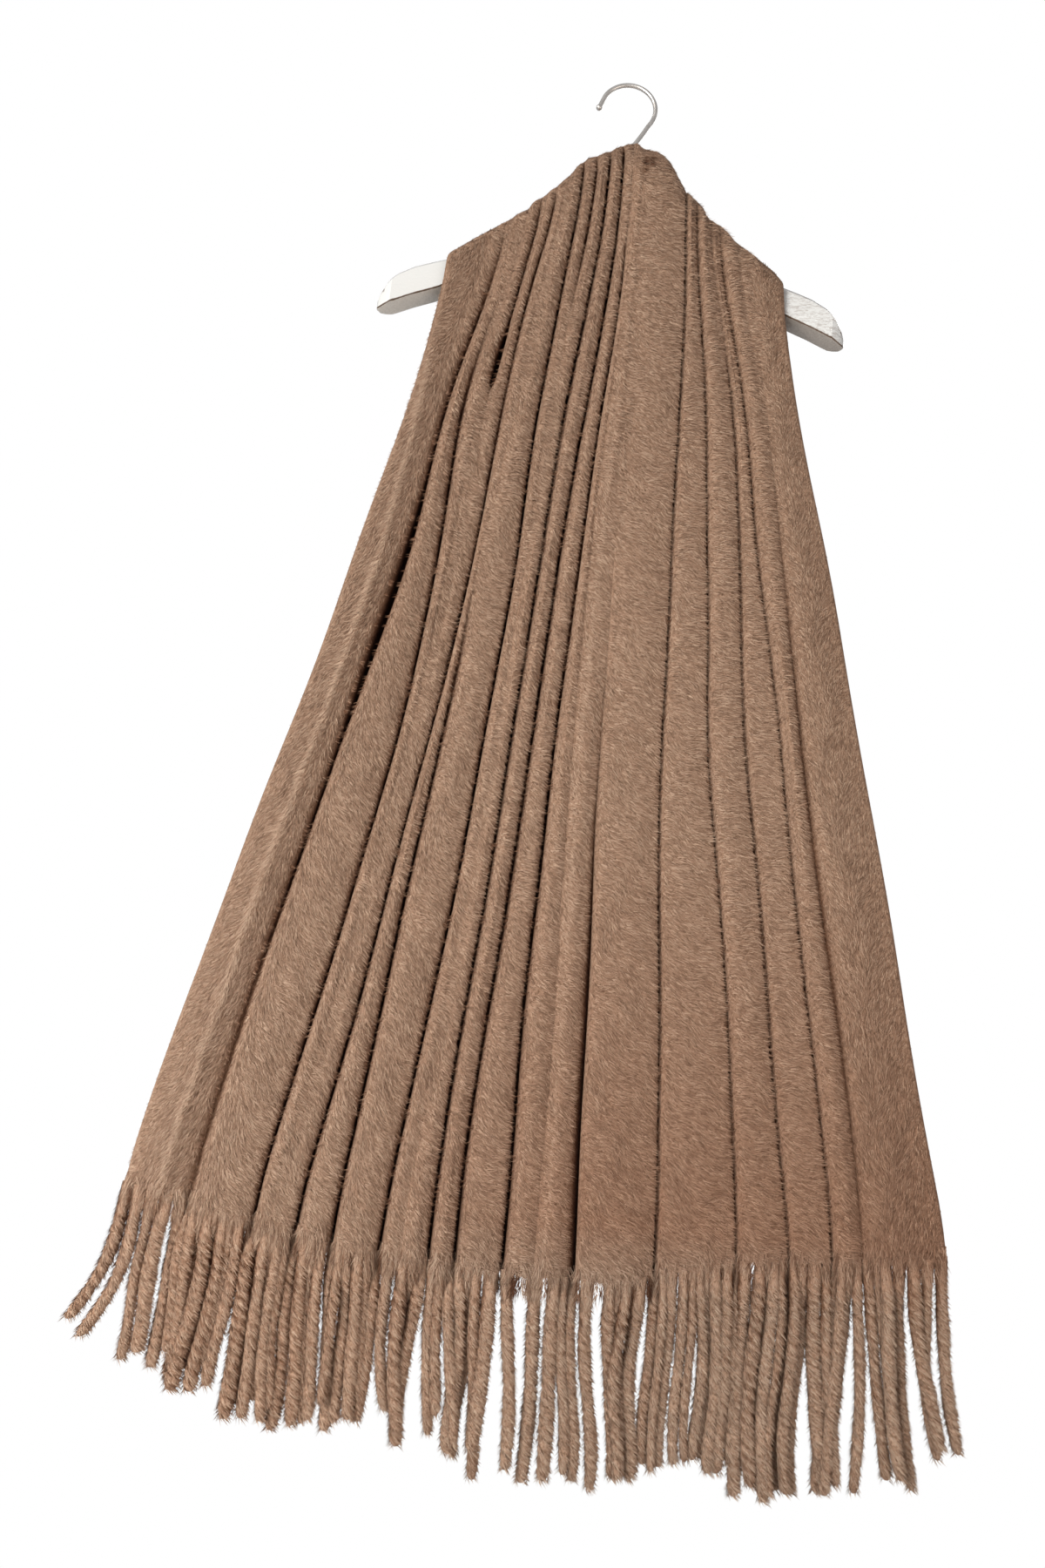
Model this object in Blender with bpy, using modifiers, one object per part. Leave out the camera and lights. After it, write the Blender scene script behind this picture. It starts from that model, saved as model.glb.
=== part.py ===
"""Tassel scarf of brushed brown cloth, hung over a painted wooden coat hanger.

The tables are in real millimetres and MM turns them into metres. +X is to the right as seen
from the front, -Y faces the viewer and +Z is up. Heights in the tables count from the level of
the hanger's arm ends. The model's origin is the bearing point inside the top of the hook,
HOOK_BEARING above that level.
"""
import math
from typing import NamedTuple

import bmesh
import bpy
import numpy as np

MM = 0.001
HOOK_BEARING = 248.0
SEAM = 0.3                      # gap kept between neighbouring pieces

# Hanger -------------------------------------------------------------------------------------
HANGER_HALF = 212.5             # from the middle to an arm's end
WOOD_HALF_THICK = 12.0
WOOD_TOP_ROUND = 8.0            # rounding of the arm's two upper edges
WOOD_UNDER_ROUND = 2.0          # rounding of its two lower edges
ARM_FORWARD = 10.0              # how far the arm ends curve towards the viewer

# distance from the middle, upper edge, lower edge, half thickness
WOOD_SECTIONS = (
    (0.0, 152.0, 100.0, 12.0),
    (9.0, 150.5, 99.5, 12.0),
    (18.0, 143.0, 97.0, 12.0),
    (30.0, 133.0, 92.0, 12.0),
    (60.0, 110.0, 74.0, 12.0),
    (81.0, 95.0, 60.0, 12.0),
    (101.0, 80.0, 46.0, 12.0),
    (117.0, 67.5, 35.5, 12.0),
    (128.0, 58.5, 28.5, 12.0),
    (140.0, 50.5, 21.5, 12.0),
    (150.0, 44.5, 15.5, 12.0),
    (161.0, 39.5, 9.8, 12.0),
    (181.0, 31.0, 0.8, 12.0),
    (195.0, 22.0, -6.5, 11.6),
    (204.0, 13.0, -10.8, 10.8),
    (210.0, 2.5, -13.0, 9.2),
    (HANGER_HALF, -6.0, -12.0, 6.0),
)

WIRE_RADIUS = 2.1
HOOK_TIP_SWELL = 1.4            # the ball at the hook's tip, against the wire
LOOP_RADIUS = 26.0              # to the middle of the wire
LOOP_CENTRE = (0.0, HOOK_BEARING + WIRE_RADIUS - LOOP_RADIUS)
LOOP_START, LOOP_END = 152.0, -38.0
LOOP_STEPS = 20
HOOK_TIP = ((-28.0, 222.6), (-27.2, 224.6), (-25.2, 230.0))
HOOK_SHANK = ((14.2, 195.6), (9.8, 188.8), (5.0, 180.4), (1.7, 172.0), (0.2, 164.0),
              (0.0, 152.0 + SEAM))

# Cloth --------------------------------------------------------------------------------------
WALL = 2.2                      # brushed cloth, its nap laid down
LAY_CLEAR = 1.1                 # from the hanger's face to the middle of the cloth behind a fold
TOP_CLEAR = 2.9                 # the same over the hanger's rounded top
SEAM_DROP = 12.0                # how far the over-the-top stretch comes down the front and back
VALLEY_HALF = 2.0               # half the width of a tight groove between two rolls
SOFT_WIDEN = 0.8                # how much wider a groove gets for each millimetre under SOFT_DEPTH
SOFT_DEPTH = 8.0
VALLEY_FLOOR = 0.5              # least height of a groove's bottom above the base
TOP_GROOVE_SHARE = 0.3          # how much of a groove is left where it crosses the crest line

# crest line over the hanger: place across, height
TOP_LINE = (
    (-150.0, 50.0), (-147.0, 54.0), (-134.0, 63.0), (-117.0, 77.0), (-101.0, 90.0), (-91.0, 96.0),
    (-81.0, 101.5), (-62.0, 121.0), (-47.0, 140.0), (-39.0, 154.0), (-33.0, 161.0), (-20.0, 166.0),
    (-10.0, 171.0), (0.0, 179.0), (11.0, 181.0), (17.0, 175.5), (29.0, 174.5), (37.0, 170.0),
    (43.0, 163.5), (51.5, 147.0), (59.0, 133.0), (69.0, 127.0), (76.0, 117.0), (81.0, 109.0),
    (92.0, 105.0), (104.0, 92.0), (120.0, 80.0), (133.0, 68.5), (144.0, 60.0), (150.0, 50.0),
)

# front hem: place across, height
FRONT_HEM = (
    (-330.0, -783.0), (-280.0, -792.0), (-220.0, -805.0), (-160.0, -818.0), (-100.0, -822.0),
    (-30.0, -827.0), (55.0, -827.0), (80.0, -824.0), (110.0, -815.0), (150.0, -806.0),
    (200.0, -800.0), (260.0, -797.0), (328.0, -788.0),
)
BACK_HEM = ((-300.0, -596.0), (-120.0, -603.0), (0.0, -600.0), (150.0, -606.0), (300.0, -594.0))
BACK_SPREAD = 0.97              # the back's folds stand a little closer than the front's

# heights at which the fold lines and the roll height are given
LEVELS = (100.0, 50.0, 0.0, -100.0, -250.0, -400.0, -600.0, -790.0)
# how far a roll's crest stands off the base at those heights, by the neck and out on the arms
NECK_CREST = (22.0, 22.0, 21.0, 20.0, 19.0, 19.0, 19.0, 18.0)
ARM_CREST = (5.0, 6.5, 9.0, 16.0, 22.0, 22.0, 20.0, 18.0)
NECK_REACH, ARM_REACH = 60.0, 108.0


class Fold(NamedTuple):
    """A groove between two rolls; the first and last are the cloth's own side edges."""
    name: str
    top: float                  # where it crosses the crest line, across
    across: tuple               # place across at LEVELS
    depth: tuple                # depth under the roll's crest at LEVELS
    soft: bool                  # a wide crease, not a tight groove
    crests: int                 # columns along the crest of the roll to its right
    puff: float                 # that roll's height, against the table


FOLDS = (
    Fold("left_edge", -150.0, (-150, -151, -154, -171, -205, -239, -288, -328),
         (4, 5, 7, 12, 17, 17, 15, 14), False, 2, 1.00),
    Fold("outer_left", -100.0, (-99, -103.5, -113.5, -137.5, -158, -191.5, -236, -272),
         (3, 4, 8, 15, 21, 21, 12, 10), False, 2, 1.05),
    Fold("branch_left", -86.0, (-85.5, -89, -101, -124, -131, -147, -180.5, -220),
         (0, 0, 1, 9, 16, 16, 17, 16), False, 1, 1.00),
    Fold("pocket_left", -69.0, (-68, -77, -88, -105, -116, -135, -166, -204),
         (5, 12, 16, 1, 0, 0, 0, 0), False, 1, 0.95),
    Fold("second_left", -57.5, (-57, -66, -76.5, -87, -102, -124, -151, -187),
         (8, 8, 11, 6, 18, 18, 16, 16), False, 1, 1.00),
    Fold("split_left", -47.0, (-47, -54.5, -64, -75, -92, -112, -133, -157),
         (0, 0, 0, 0, 1, 14, 15, 15), False, 1, 1.05),
    Fold("third_left", -36.0, (-36.5, -42, -48, -56, -64.5, -75.5, -94.5, -119.5),
         (15, 17, 18, 17, 16, 16, 16, 16), False, 1, 0.95),
    Fold("short_left", -24.5, (-24, -30, -35, -45, -54, -64, -82, -100),
         (11, 9, 2, 0, 0, 0, 0, 0), False, 1, 1.00),
    Fold("fourth_left", -13.0, (-12.5, -16.5, -22, -35, -43.5, -53.5, -69, -81),
         (14, 14, 14, 15, 15, 15, 15, 14), False, 1, 0.95),
    Fold("centre_left", -1.0, (0, -1.5, -5, -17, -27.5, -36.5, -50, -61.5),
         (16, 16, 15, 15, 14, 14, 13, 14), False, 1, 0.90),
    Fold("centre", 9.0, (10, 8.5, 7.5, -1.5, -10, -17, -23.5, -23),
         (0, 4, 12, 14, 9, 14, 14, 15), False, 2, 1.05),
    Fold("pinch", 19.0, (17, 20, 22, 21, 21, 20.5, 25.5, 33.5),
         (1, 0, 0, 0, 0, 4, 12, 15), True, 3, 1.10),
    Fold("first_right", 59.0, (58.5, 62.5, 65, 67.5, 69, 71, 84, 94.5),
         (14, 14, 14, 15, 15, 15, 15, 15), False, 2, 0.95),
    Fold("second_right", 69.5, (69, 73.5, 80, 91.5, 100.5, 111.5, 138, 158),
         (7, 8, 10, 13, 13, 13, 15, 15), False, 1, 1.00),
    Fold("third_right", 81.5, (81, 87.5, 100, 118, 129, 142, 171, 198.5),
         (5, 7, 10, 12, 9, 11, 14, 15), False, 1, 0.80),
    Fold("fourth_right", 92.0, (91.5, 98, 111.5, 129, 147, 173.5, 203, 234),
         (3, 6, 9, 12, 14, 16, 15, 14), False, 1, 1.05),
    Fold("panel_crease", 112.0, (112, 116, 127, 146, 170, 198, 228, 258),
         (0, 0, 0, 1, 4, 6, 6, 4), True, 3, 1.00),
    Fold("right_edge", 150.0, (150, 152, 158, 176, 212, 245, 286, 325),
         (4, 5, 7, 12, 17, 17, 15, 14), False, 0, 1.00),
)

# rows of the cloth: share of the way from the seam to the hem, and angles over the top
FRONT_ROWS = (0.0, 0.045, 0.10, 0.17, 0.26, 0.37, 0.50, 0.64, 0.78, 0.90, 1.0)
TOP_ANGLES = (35.0, 65.0, 90.0, 115.0, 145.0)
BACK_ROWS = (0.0, 0.07, 0.16, 0.30, 0.50, 0.75, 1.0)
SLOT_ANGLE = 65.0               # the top is open for the hook's wire from here over to the back

# Fringe -------------------------------------------------------------------------------------
BAND_HEIGHT = 5.0               # the strip that carries the tassels
BAND_GAP = 0.6
TASSEL_HALF = 4.2
TASSEL_SWELL = 9.0              # below the strip, where a tassel reaches its full size
TASSEL_TIP_SHARE = 0.72
TASSEL_LEAN_POWER = 1.3

# tassels counted, then first and last: root across, tip across, tip height
FRONT_TASSELS = (
    (2, -319, -308, -352, -339, -899, -894),
    (2, -297, -286, -317, -305, -911, -913),
    (5, -275, -229, -281, -234, -918, -935),
    (4, -218, -186, -221, -187, -943, -955),
    (6, -175, -122, -173, -120, -951, -951),
    (3, -110, -86, -108, -84, -938, -957),
    (4, -75, -43, -69, -39, -954, -976),
    (1, -31, -31, -28, -28, -955, -955),
    (2, -18, 4, -6, 7, -972, -972),
    (3, 19, 44, 20, 42, -967, -976),
    (3, 62, 84, 68, 88, -971, -963),
    (5, 97, 141, 99, 145, -962, -953),
    (2, 152, 164, 156, 167, -964, -967),
    (4, 177, 208, 178, 211, -972, -973),
    (4, 219, 250, 222, 256, -968, -968),
    (3, 261, 283, 276, 298, -960, -955),
    (2, 294, 305, 309, 319, -935, -930),
    (1, 316, 316, 337, 337, -933, -933),
)
BACK_TASSELS = ((44, -262, 262, -268, 268, -757, -757),)

# colour as linear light, roughness, metallic
LOOKS = {
    "brushed_cloth": ((0.31, 0.19, 0.125, 1.0), 0.95, 0.0),
    "cloth_fringe": ((0.30, 0.19, 0.135, 1.0), 0.95, 0.0),
    "painted_wood": ((0.80, 0.78, 0.75, 1.0), 0.35, 0.0),
    "hook_steel": ((0.62, 0.60, 0.58, 1.0), 0.30, 1.0),
}


def clear_scene():
    for thing in list(bpy.data.objects):
        bpy.data.objects.remove(thing, do_unlink=True)


def look(name):
    colour, roughness, metallic = LOOKS[name]
    material = bpy.data.materials.new(name)
    material.use_nodes = True
    shader = material.node_tree.nodes["Principled BSDF"]
    shader.inputs["Base Color"].default_value = colour
    shader.inputs["Roughness"].default_value = roughness
    shader.inputs["Metallic"].default_value = metallic
    return material


def place(point):
    """A table point in millimetres as a point of the model in metres."""
    return (point[0] * MM, point[1] * MM, (point[2] - HOOK_BEARING) * MM)


def add_object(name, data, collection, material):
    thing = bpy.data.objects.new(name, data)
    data.materials.append(material)
    collection.objects.link(thing)
    return thing


def mesh_object(name, shape, collection, material, smooth_angle):
    """Closes the hand-built faces outwards and makes the object."""
    bmesh.ops.recalc_face_normals(shape, faces=shape.faces)
    mesh = bpy.data.meshes.new(name)
    shape.to_mesh(mesh)
    shape.free()
    mesh.shade_smooth()
    mesh.set_sharp_from_angle(angle=math.radians(smooth_angle))
    return add_object(name, mesh, collection, material)


# Hanger -------------------------------------------------------------------------------------
def forward(across):
    return ARM_FORWARD * (across / HANGER_HALF) ** 2


def wood_top(across):
    stations = [row[0] for row in WOOD_SECTIONS]
    return np.interp(np.abs(across), stations, [row[1] for row in WOOD_SECTIONS])


def wood_ring(across, top, bottom, half):
    """A rounded section of the arm: round above, nearly square below."""
    above = min(WOOD_TOP_ROUND, 0.45 * (top - bottom), 0.9 * half)
    below = min(WOOD_UNDER_ROUND, 0.3 * (top - bottom))
    corners = ((half - above, top - above, above, 0.0), (above - half, top - above, above, 90.0),
               (below - half, bottom + below, below, 180.0), (half - below, bottom + below, below, 270.0))
    ring = []
    for centre_y, centre_z, radius, start in corners:
        for step in (0.0, 45.0, 90.0):
            angle = math.radians(start + step)
            y = centre_y + radius * math.cos(angle) - forward(across)
            ring.append((across, y, centre_z + radius * math.sin(angle)))
    return ring


def build_wood(collection):
    shape = bmesh.new()
    rings = [[shape.verts.new(place(point)) for point in wood_ring(*row)] for row in WOOD_SECTIONS]
    for inner, outer in zip(rings, rings[1:]):
        for side in range(len(inner)):
            after = (side + 1) % len(inner)
            shape.faces.new((inner[side], inner[after], outer[after], outer[side]))
    shape.faces.new(rings[-1])
    wood = mesh_object("hanger_wood", shape, collection, look("painted_wood"), 50.0)
    mirror = wood.modifiers.new("other_arm", "MIRROR")
    mirror.merge_threshold = 0.00005


def hook_route():
    turns = np.radians(np.linspace(LOOP_START, LOOP_END, LOOP_STEPS + 1))
    loop = [(LOOP_CENTRE[0] + LOOP_RADIUS * math.cos(turn),
             LOOP_CENTRE[1] + LOOP_RADIUS * math.sin(turn)) for turn in turns]
    return list(HOOK_TIP) + loop + list(HOOK_SHANK)


def build_hook(collection):
    curve = bpy.data.curves.new("hanger_hook", "CURVE")
    curve.dimensions = "3D"
    curve.bevel_depth = WIRE_RADIUS * MM
    curve.bevel_resolution = 2
    curve.use_fill_caps = True
    route = hook_route()
    spline = curve.splines.new("POLY")
    spline.points.add(len(route) - 1)
    for point, (across, height) in zip(spline.points, route):
        point.co = (*place((across, 0.0, height)), 1.0)
    spline.points[0].radius = 0.5 * HOOK_TIP_SWELL
    spline.points[1].radius = HOOK_TIP_SWELL
    add_object("hanger_hook", curve, collection, look("hook_steel"))


# Cloth --------------------------------------------------------------------------------------
def crest_line(across):
    return np.interp(across, [row[0] for row in TOP_LINE], [row[1] for row in TOP_LINE])


def seam_height(top_across):
    return wood_top(top_across) - SEAM_DROP


def at_level(values, height):
    return np.interp(-height, [-level for level in LEVELS], values)


def fold_across(fold, height):
    """Where a fold lies at a height, from its crossing of the crest line downwards."""
    peak = crest_line(fold.top)
    below = [(-level, place_across) for level, place_across in zip(LEVELS, fold.across)
             if level < peak - SEAM_DROP]
    knots = [(-peak, fold.top)] + below
    return np.interp(-height, [knot[0] for knot in knots], [knot[1] for knot in knots])


def crest_height(top_across, height):
    out = np.clip((abs(top_across) - NECK_REACH) / (ARM_REACH - NECK_REACH), 0.0, 1.0)
    return (1.0 - out) * at_level(NECK_CREST, height) + out * at_level(ARM_CREST, height)


def cloth_columns():
    """Each column: its roll, its kind, and for a crest its share of the way across the roll."""
    columns = []
    for roll, (left, right) in enumerate(zip(FOLDS, FOLDS[1:])):
        columns.append((roll, "bottom", 0.0))
        if not left.soft:
            columns.append((roll, "left_flank", 0.0))
        columns.append((roll, "left_shoulder", 0.0))
        for step in range(left.crests):
            columns.append((roll, "crest", (step + 1.0) / (left.crests + 1.0)))
        columns.append((roll, "right_shoulder", 1.0))
        if not right.soft:
            columns.append((roll, "right_flank", 1.0))
    columns.append((len(FOLDS) - 2, "end", 1.0))
    return columns


def groove_half(depth, width):
    return min(VALLEY_HALF + SOFT_WIDEN * max(0.0, SOFT_DEPTH - depth), 0.28 * width)


def roll_profile(column, across, depth, edge_crest, crest):
    """Place across and height off the base of one column between two folds."""
    kind, share = column[1], column[2]
    width = across[1] - across[0]
    half = [groove_half(side, width) for side in depth]
    spare = [0.45 * max(0.0, 0.5 * width - side - 0.5 * WALL - SEAM) for side in half]
    left, right = across[0] + half[0] + spare[0], across[1] - half[1] - spare[1]
    bulge = min(0.05 * width, 4.0)
    if kind == "bottom":
        return across[0], edge_crest[0] - depth[0]
    if kind == "end":
        return across[1], edge_crest[1] - depth[1]
    if kind == "left_flank":
        return across[0] + half[0], edge_crest[0] - 0.45 * depth[0]
    if kind == "right_flank":
        return across[1] - half[1], edge_crest[1] - 0.45 * depth[1]
    if kind == "left_shoulder":
        return left, 0.5 * (edge_crest[0] + crest) - 0.08 * depth[0]
    if kind == "right_shoulder":
        return right, 0.5 * (edge_crest[1] + crest) - 0.08 * depth[1]
    return left + share * (right - left), crest + bulge * 4.0 * share * (1.0 - share)


def puffs_beside(roll):
    """Puff of the grooves to a roll's left and right, midway between the rolls they part."""
    before = FOLDS[max(0, roll - 1)].puff
    after = FOLDS[min(len(FOLDS) - 2, roll + 1)].puff
    return 0.5 * (before + FOLDS[roll].puff), 0.5 * (after + FOLDS[roll].puff)


def column_at(column, height):
    """Place across and height off the base for a column at a height."""
    left, right = FOLDS[column[0]], FOLDS[column[0] + 1]
    across = (fold_across(left, height), fold_across(right, height))
    depth = (at_level(left.depth, height), at_level(right.depth, height))
    share = {"bottom": 0.0, "left_flank": 0.02, "right_flank": 0.98, "end": 1.0}.get(column[1], column[2])
    level_crest = crest_height(left.top + share * (right.top - left.top), height)
    edge_crest = [level_crest * puff for puff in puffs_beside(column[0])]
    place_across, off = roll_profile(column, across, depth, edge_crest, level_crest * left.puff)
    return place_across, max(VALLEY_FLOOR, off)


def column_top(column):
    """The same on the crest line itself."""
    left, right = FOLDS[column[0]], FOLDS[column[0] + 1]
    depth = (left.depth[0], right.depth[0])
    across, off = roll_profile(column, (left.top, right.top), depth, (0.0, 0.0), 0.0)
    rise = crest_line(across) - wood_top(across) - TOP_CLEAR
    return across, max(VALLEY_FLOOR, rise + TOP_GROOVE_SHARE * min(off, 0.0))


def base_offset(height):
    """The base lies on the hanger's face and eases towards the middle below it."""
    lower = np.clip(-height / 300.0, 0.0, 1.0)
    return (WOOD_HALF_THICK + LAY_CLEAR) * (1.0 - 0.3 * lower)


def lean_forward(top_across, height):
    """The cloth follows the arms' forward curve, less and less below them."""
    return -forward(top_across) * np.clip(1.0 + height / 160.0, 0.0, 1.0)


def fall_point(column, share, side, hem, spread):
    """A point of the hanging cloth: side -1 in front, +1 behind."""
    top_across = column_top(column)[0]
    start = seam_height(top_across)
    hem_across = column_at(column, min(row[1] for row in hem))[0] * spread
    end = np.interp(hem_across, [row[0] for row in hem], [row[1] for row in hem])
    height = start + share * (end - start)
    across, off = column_at(column, height)
    across *= 1.0 + (spread - 1.0) * share
    y = lean_forward(top_across, height) + side * (base_offset(height) + off)
    return (across, y, height)


def top_point(column, angle):
    """A point of the stretch over the hanger, on an ellipse from the front seam to the back."""
    top_across, rise = column_top(column)
    start = seam_height(top_across)
    turn = math.radians(angle)
    off = column_at(column, start)[1]
    out = base_offset(start) + off
    up = SEAM_DROP + TOP_CLEAR + rise
    height = start + up * math.sin(turn)
    seam_across = column_at(column, start)[0]
    across = seam_across + (top_across - seam_across) * math.sin(turn)
    return (across, lean_forward(top_across, start) - out * math.cos(turn), height)


def cloth_grid():
    """Middle surface of the whole cloth, a row at a time from the front hem to the back hem."""
    columns = cloth_columns()
    front = [[fall_point(column, share, -1.0, FRONT_HEM, 1.0) for column in columns]
             for share in reversed(FRONT_ROWS)]
    over = [[top_point(column, angle) for column in columns] for angle in TOP_ANGLES]
    back = [[fall_point(column, share, 1.0, BACK_HEM, BACK_SPREAD) for column in columns]
            for share in BACK_ROWS]
    return np.array(front + over + back)


def grid_offsets(grid):
    """Half the wall's thickness at each point of the grid, along the surface's normal."""
    along = grid[1:, :-1] - grid[:-1, 1:]
    across = grid[1:, 1:] - grid[:-1, :-1]
    faces = np.cross(across, along)
    faces /= np.linalg.norm(faces, axis=2, keepdims=True)
    total = np.zeros_like(grid)
    for row in (0, 1):
        for column in (0, 1):
            total[row:row + faces.shape[0], column:column + faces.shape[1]] += faces
    total[0, :, 2] = 0.0
    total[-1, :, 2] = 0.0
    normals = total / np.linalg.norm(total, axis=2, keepdims=True)
    lean = np.zeros(grid.shape[:2])
    count = np.zeros(grid.shape[:2])
    for row in (0, 1):
        for column in (0, 1):
            window = (slice(row, row + faces.shape[0]), slice(column, column + faces.shape[1]))
            lean[window] += np.sum(normals[window] * faces, axis=2)
            count[window] += 1.0
    return normals * (0.5 * WALL / np.clip(lean / count, 0.6, 1.0))[..., None]


def part_rows(outer, inner, first, last):
    """Rows first to last of both skins, drawn back half a seam at an end that meets a neighbour."""
    skins = []
    for skin in (outer, inner):
        rows = skin[first:last + 1].copy()
        for edge, inward in ((0, 1), (-1, -2)):
            if (edge == 0 and first > 0) or (edge == -1 and last < len(skin) - 1):
                step = rows[inward] - rows[edge]
                step /= np.linalg.norm(step, axis=1, keepdims=True)
                rows[edge] += 0.5 * SEAM * step
        skins.append(rows)
    return skins


def build_wall(name, skins, kept, collection, material):
    """A closed wall between two skins; kept says which cells of the grid have cloth."""
    shape = bmesh.new()
    rows, columns = skins[0].shape[:2]
    verts = [{} for _ in skins]

    def vert(skin, row, column):
        if (row, column) not in verts[skin]:
            verts[skin][row, column] = shape.verts.new(place(skins[skin][row, column]))
        return verts[skin][row, column]

    edges = {}
    for row in range(rows - 1):
        for column in range(columns - 1):
            if not kept(row, column):
                continue
            loop = ((row, column), (row, column + 1), (row + 1, column + 1), (row + 1, column))
            shape.faces.new([vert(0, *corner) for corner in loop])
            shape.faces.new([vert(1, *corner) for corner in reversed(loop)])
            for start, end in zip(loop, loop[1:] + loop[:1]):
                edges[frozenset((start, end))] = None if frozenset((start, end)) in edges else (start, end)
    for rim in edges.values():
        if rim:                 # both sides of a seam split their rims along the same diagonal
            low, high = sorted(rim)
            shape.faces.new((vert(0, *low), vert(0, *high), vert(1, *high)))
            shape.faces.new((vert(0, *low), vert(1, *high), vert(1, *low)))
    return mesh_object(name, shape, collection, material, 60.0)


def slot_cells():
    """Cells of the over-the-top stretch left open round the hook's wire, as a test."""
    columns = cloth_columns()
    names = [fold.name for fold in FOLDS]
    first = columns.index((names.index("centre_left") - 1, "right_shoulder", 1.0))
    last = columns.index((names.index("pinch"), "bottom", 0.0))
    angles = (0.0,) + TOP_ANGLES + (180.0,)

    def kept(row, column):
        over_wire = angles[row] >= SLOT_ANGLE and angles[row + 1] <= 180.0 - SLOT_ANGLE
        return not (over_wire and first <= column < last)

    return kept


def build_cloth(collection):
    grid = cloth_grid()
    offsets = grid_offsets(grid)
    outer, inner = grid + offsets, grid - offsets
    front_end = len(FRONT_ROWS) - 1
    back_start = front_end + len(TOP_ANGLES) + 1
    stretches = (("front_fall", 0, front_end, lambda row, column: True),
                 ("over_hanger", front_end, back_start, slot_cells()),
                 ("back_fall", back_start, len(grid) - 1, lambda row, column: True))
    cloth = look("brushed_cloth")
    for name, first, last, kept in stretches:
        build_wall(name, part_rows(outer, inner, first, last), kept, collection, cloth)
    return grid


# Fringe -------------------------------------------------------------------------------------
def tassel_list(table):
    """Root across, tip across and tip height of every tassel, from the table of groups."""
    tassels = []
    for count, root_first, root_last, tip_first, tip_last, drop_first, drop_last in table:
        for step in range(count):
            share = step / max(1, count - 1)
            tassels.append((root_first + share * (root_last - root_first),
                            tip_first + share * (tip_last - tip_first),
                            drop_first + share * (drop_last - drop_first)))
    return tassels


def band_edges(tassels):
    roots = [tassel[0] for tassel in tassels]
    middles = [0.5 * (left + right) for left, right in zip(roots, roots[1:])]
    return [roots[0] - (middles[0] - roots[0])] + middles + [roots[-1] + (roots[-1] - middles[-1])]


def band_depth(hem_row, across):
    """The strip's place front to back: the hem's, evened out over a tassel's width."""
    nearby = [np.interp(across + step, hem_row[:, 0], hem_row[:, 1]) for step in (-5.0, 0.0, 5.0)]
    return sum(nearby) / len(nearby)


def tassel_rings(tassel, root_y, root_height):
    """Middle, height and half width of a tassel's sections from below the strip to its tip."""
    root, tip, tip_height = tassel
    drop = root_height - tip_height
    for share, size in ((TASSEL_SWELL / drop, 1.0), (0.5, 1.0), (1.0, TASSEL_TIP_SHARE)):
        across = root + (tip - root) * share ** TASSEL_LEAN_POWER
        yield across, root_y, root_height - share * drop, TASSEL_HALF * size


def build_fringe(name, table, hem, hem_row, collection):
    shape = bmesh.new()
    tassels = tassel_list(table)
    edges = band_edges(tassels)
    posts = []
    for across in edges:
        y = band_depth(hem_row, across)
        upper = np.interp(across, [row[0] for row in hem], [row[1] for row in hem]) - BAND_GAP
        posts.append([shape.verts.new(place((across, y + half, upper - drop)))
                      for half, drop in ((-0.5 * WALL, 0.0), (0.5 * WALL, 0.0),
                                         (0.5 * WALL, BAND_HEIGHT), (-0.5 * WALL, BAND_HEIGHT))])
    for left, right in zip(posts, posts[1:]):
        for side in (0, 1, 3):
            after = (side + 1) % 4
            shape.faces.new((left[side], left[after], right[after], right[side]))
    shape.faces.new(posts[0])
    shape.faces.new(posts[-1])
    for tassel, left, right in zip(tassels, posts, posts[1:]):
        ring = [left[3], right[3], right[2], left[2]]
        root_y = 1000.0 * sum(vert.co.y for vert in ring) / 4.0
        root_height = 1000.0 * sum(vert.co.z for vert in ring) / 4.0 + HOOK_BEARING
        for across, y, height, half in tassel_rings(tassel, root_y, root_height):
            corners = ((-half, -half), (half, -half), (half, half), (-half, half))
            lower = [shape.verts.new(place((across + dx, y + dy, height))) for dx, dy in corners]
            for side in range(4):
                after = (side + 1) % 4
                shape.faces.new((ring[side], ring[after], lower[after], lower[side]))
            ring = lower
        shape.faces.new(ring)
    mesh_object(name, shape, collection, look("cloth_fringe"), 60.0)


def main():
    clear_scene()
    collection = bpy.data.collections.new("tassel_scarf_on_hanger")
    bpy.context.scene.collection.children.link(collection)
    build_wood(collection)
    build_hook(collection)
    grid = build_cloth(collection)
    build_fringe("front_fringe", FRONT_TASSELS, FRONT_HEM, grid[0], collection)
    build_fringe("back_fringe", BACK_TASSELS, BACK_HEM, grid[-1], collection)


main()
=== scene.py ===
import math

import bmesh
import bpy
import numpy as np
from mathutils import Matrix, Vector


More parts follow.
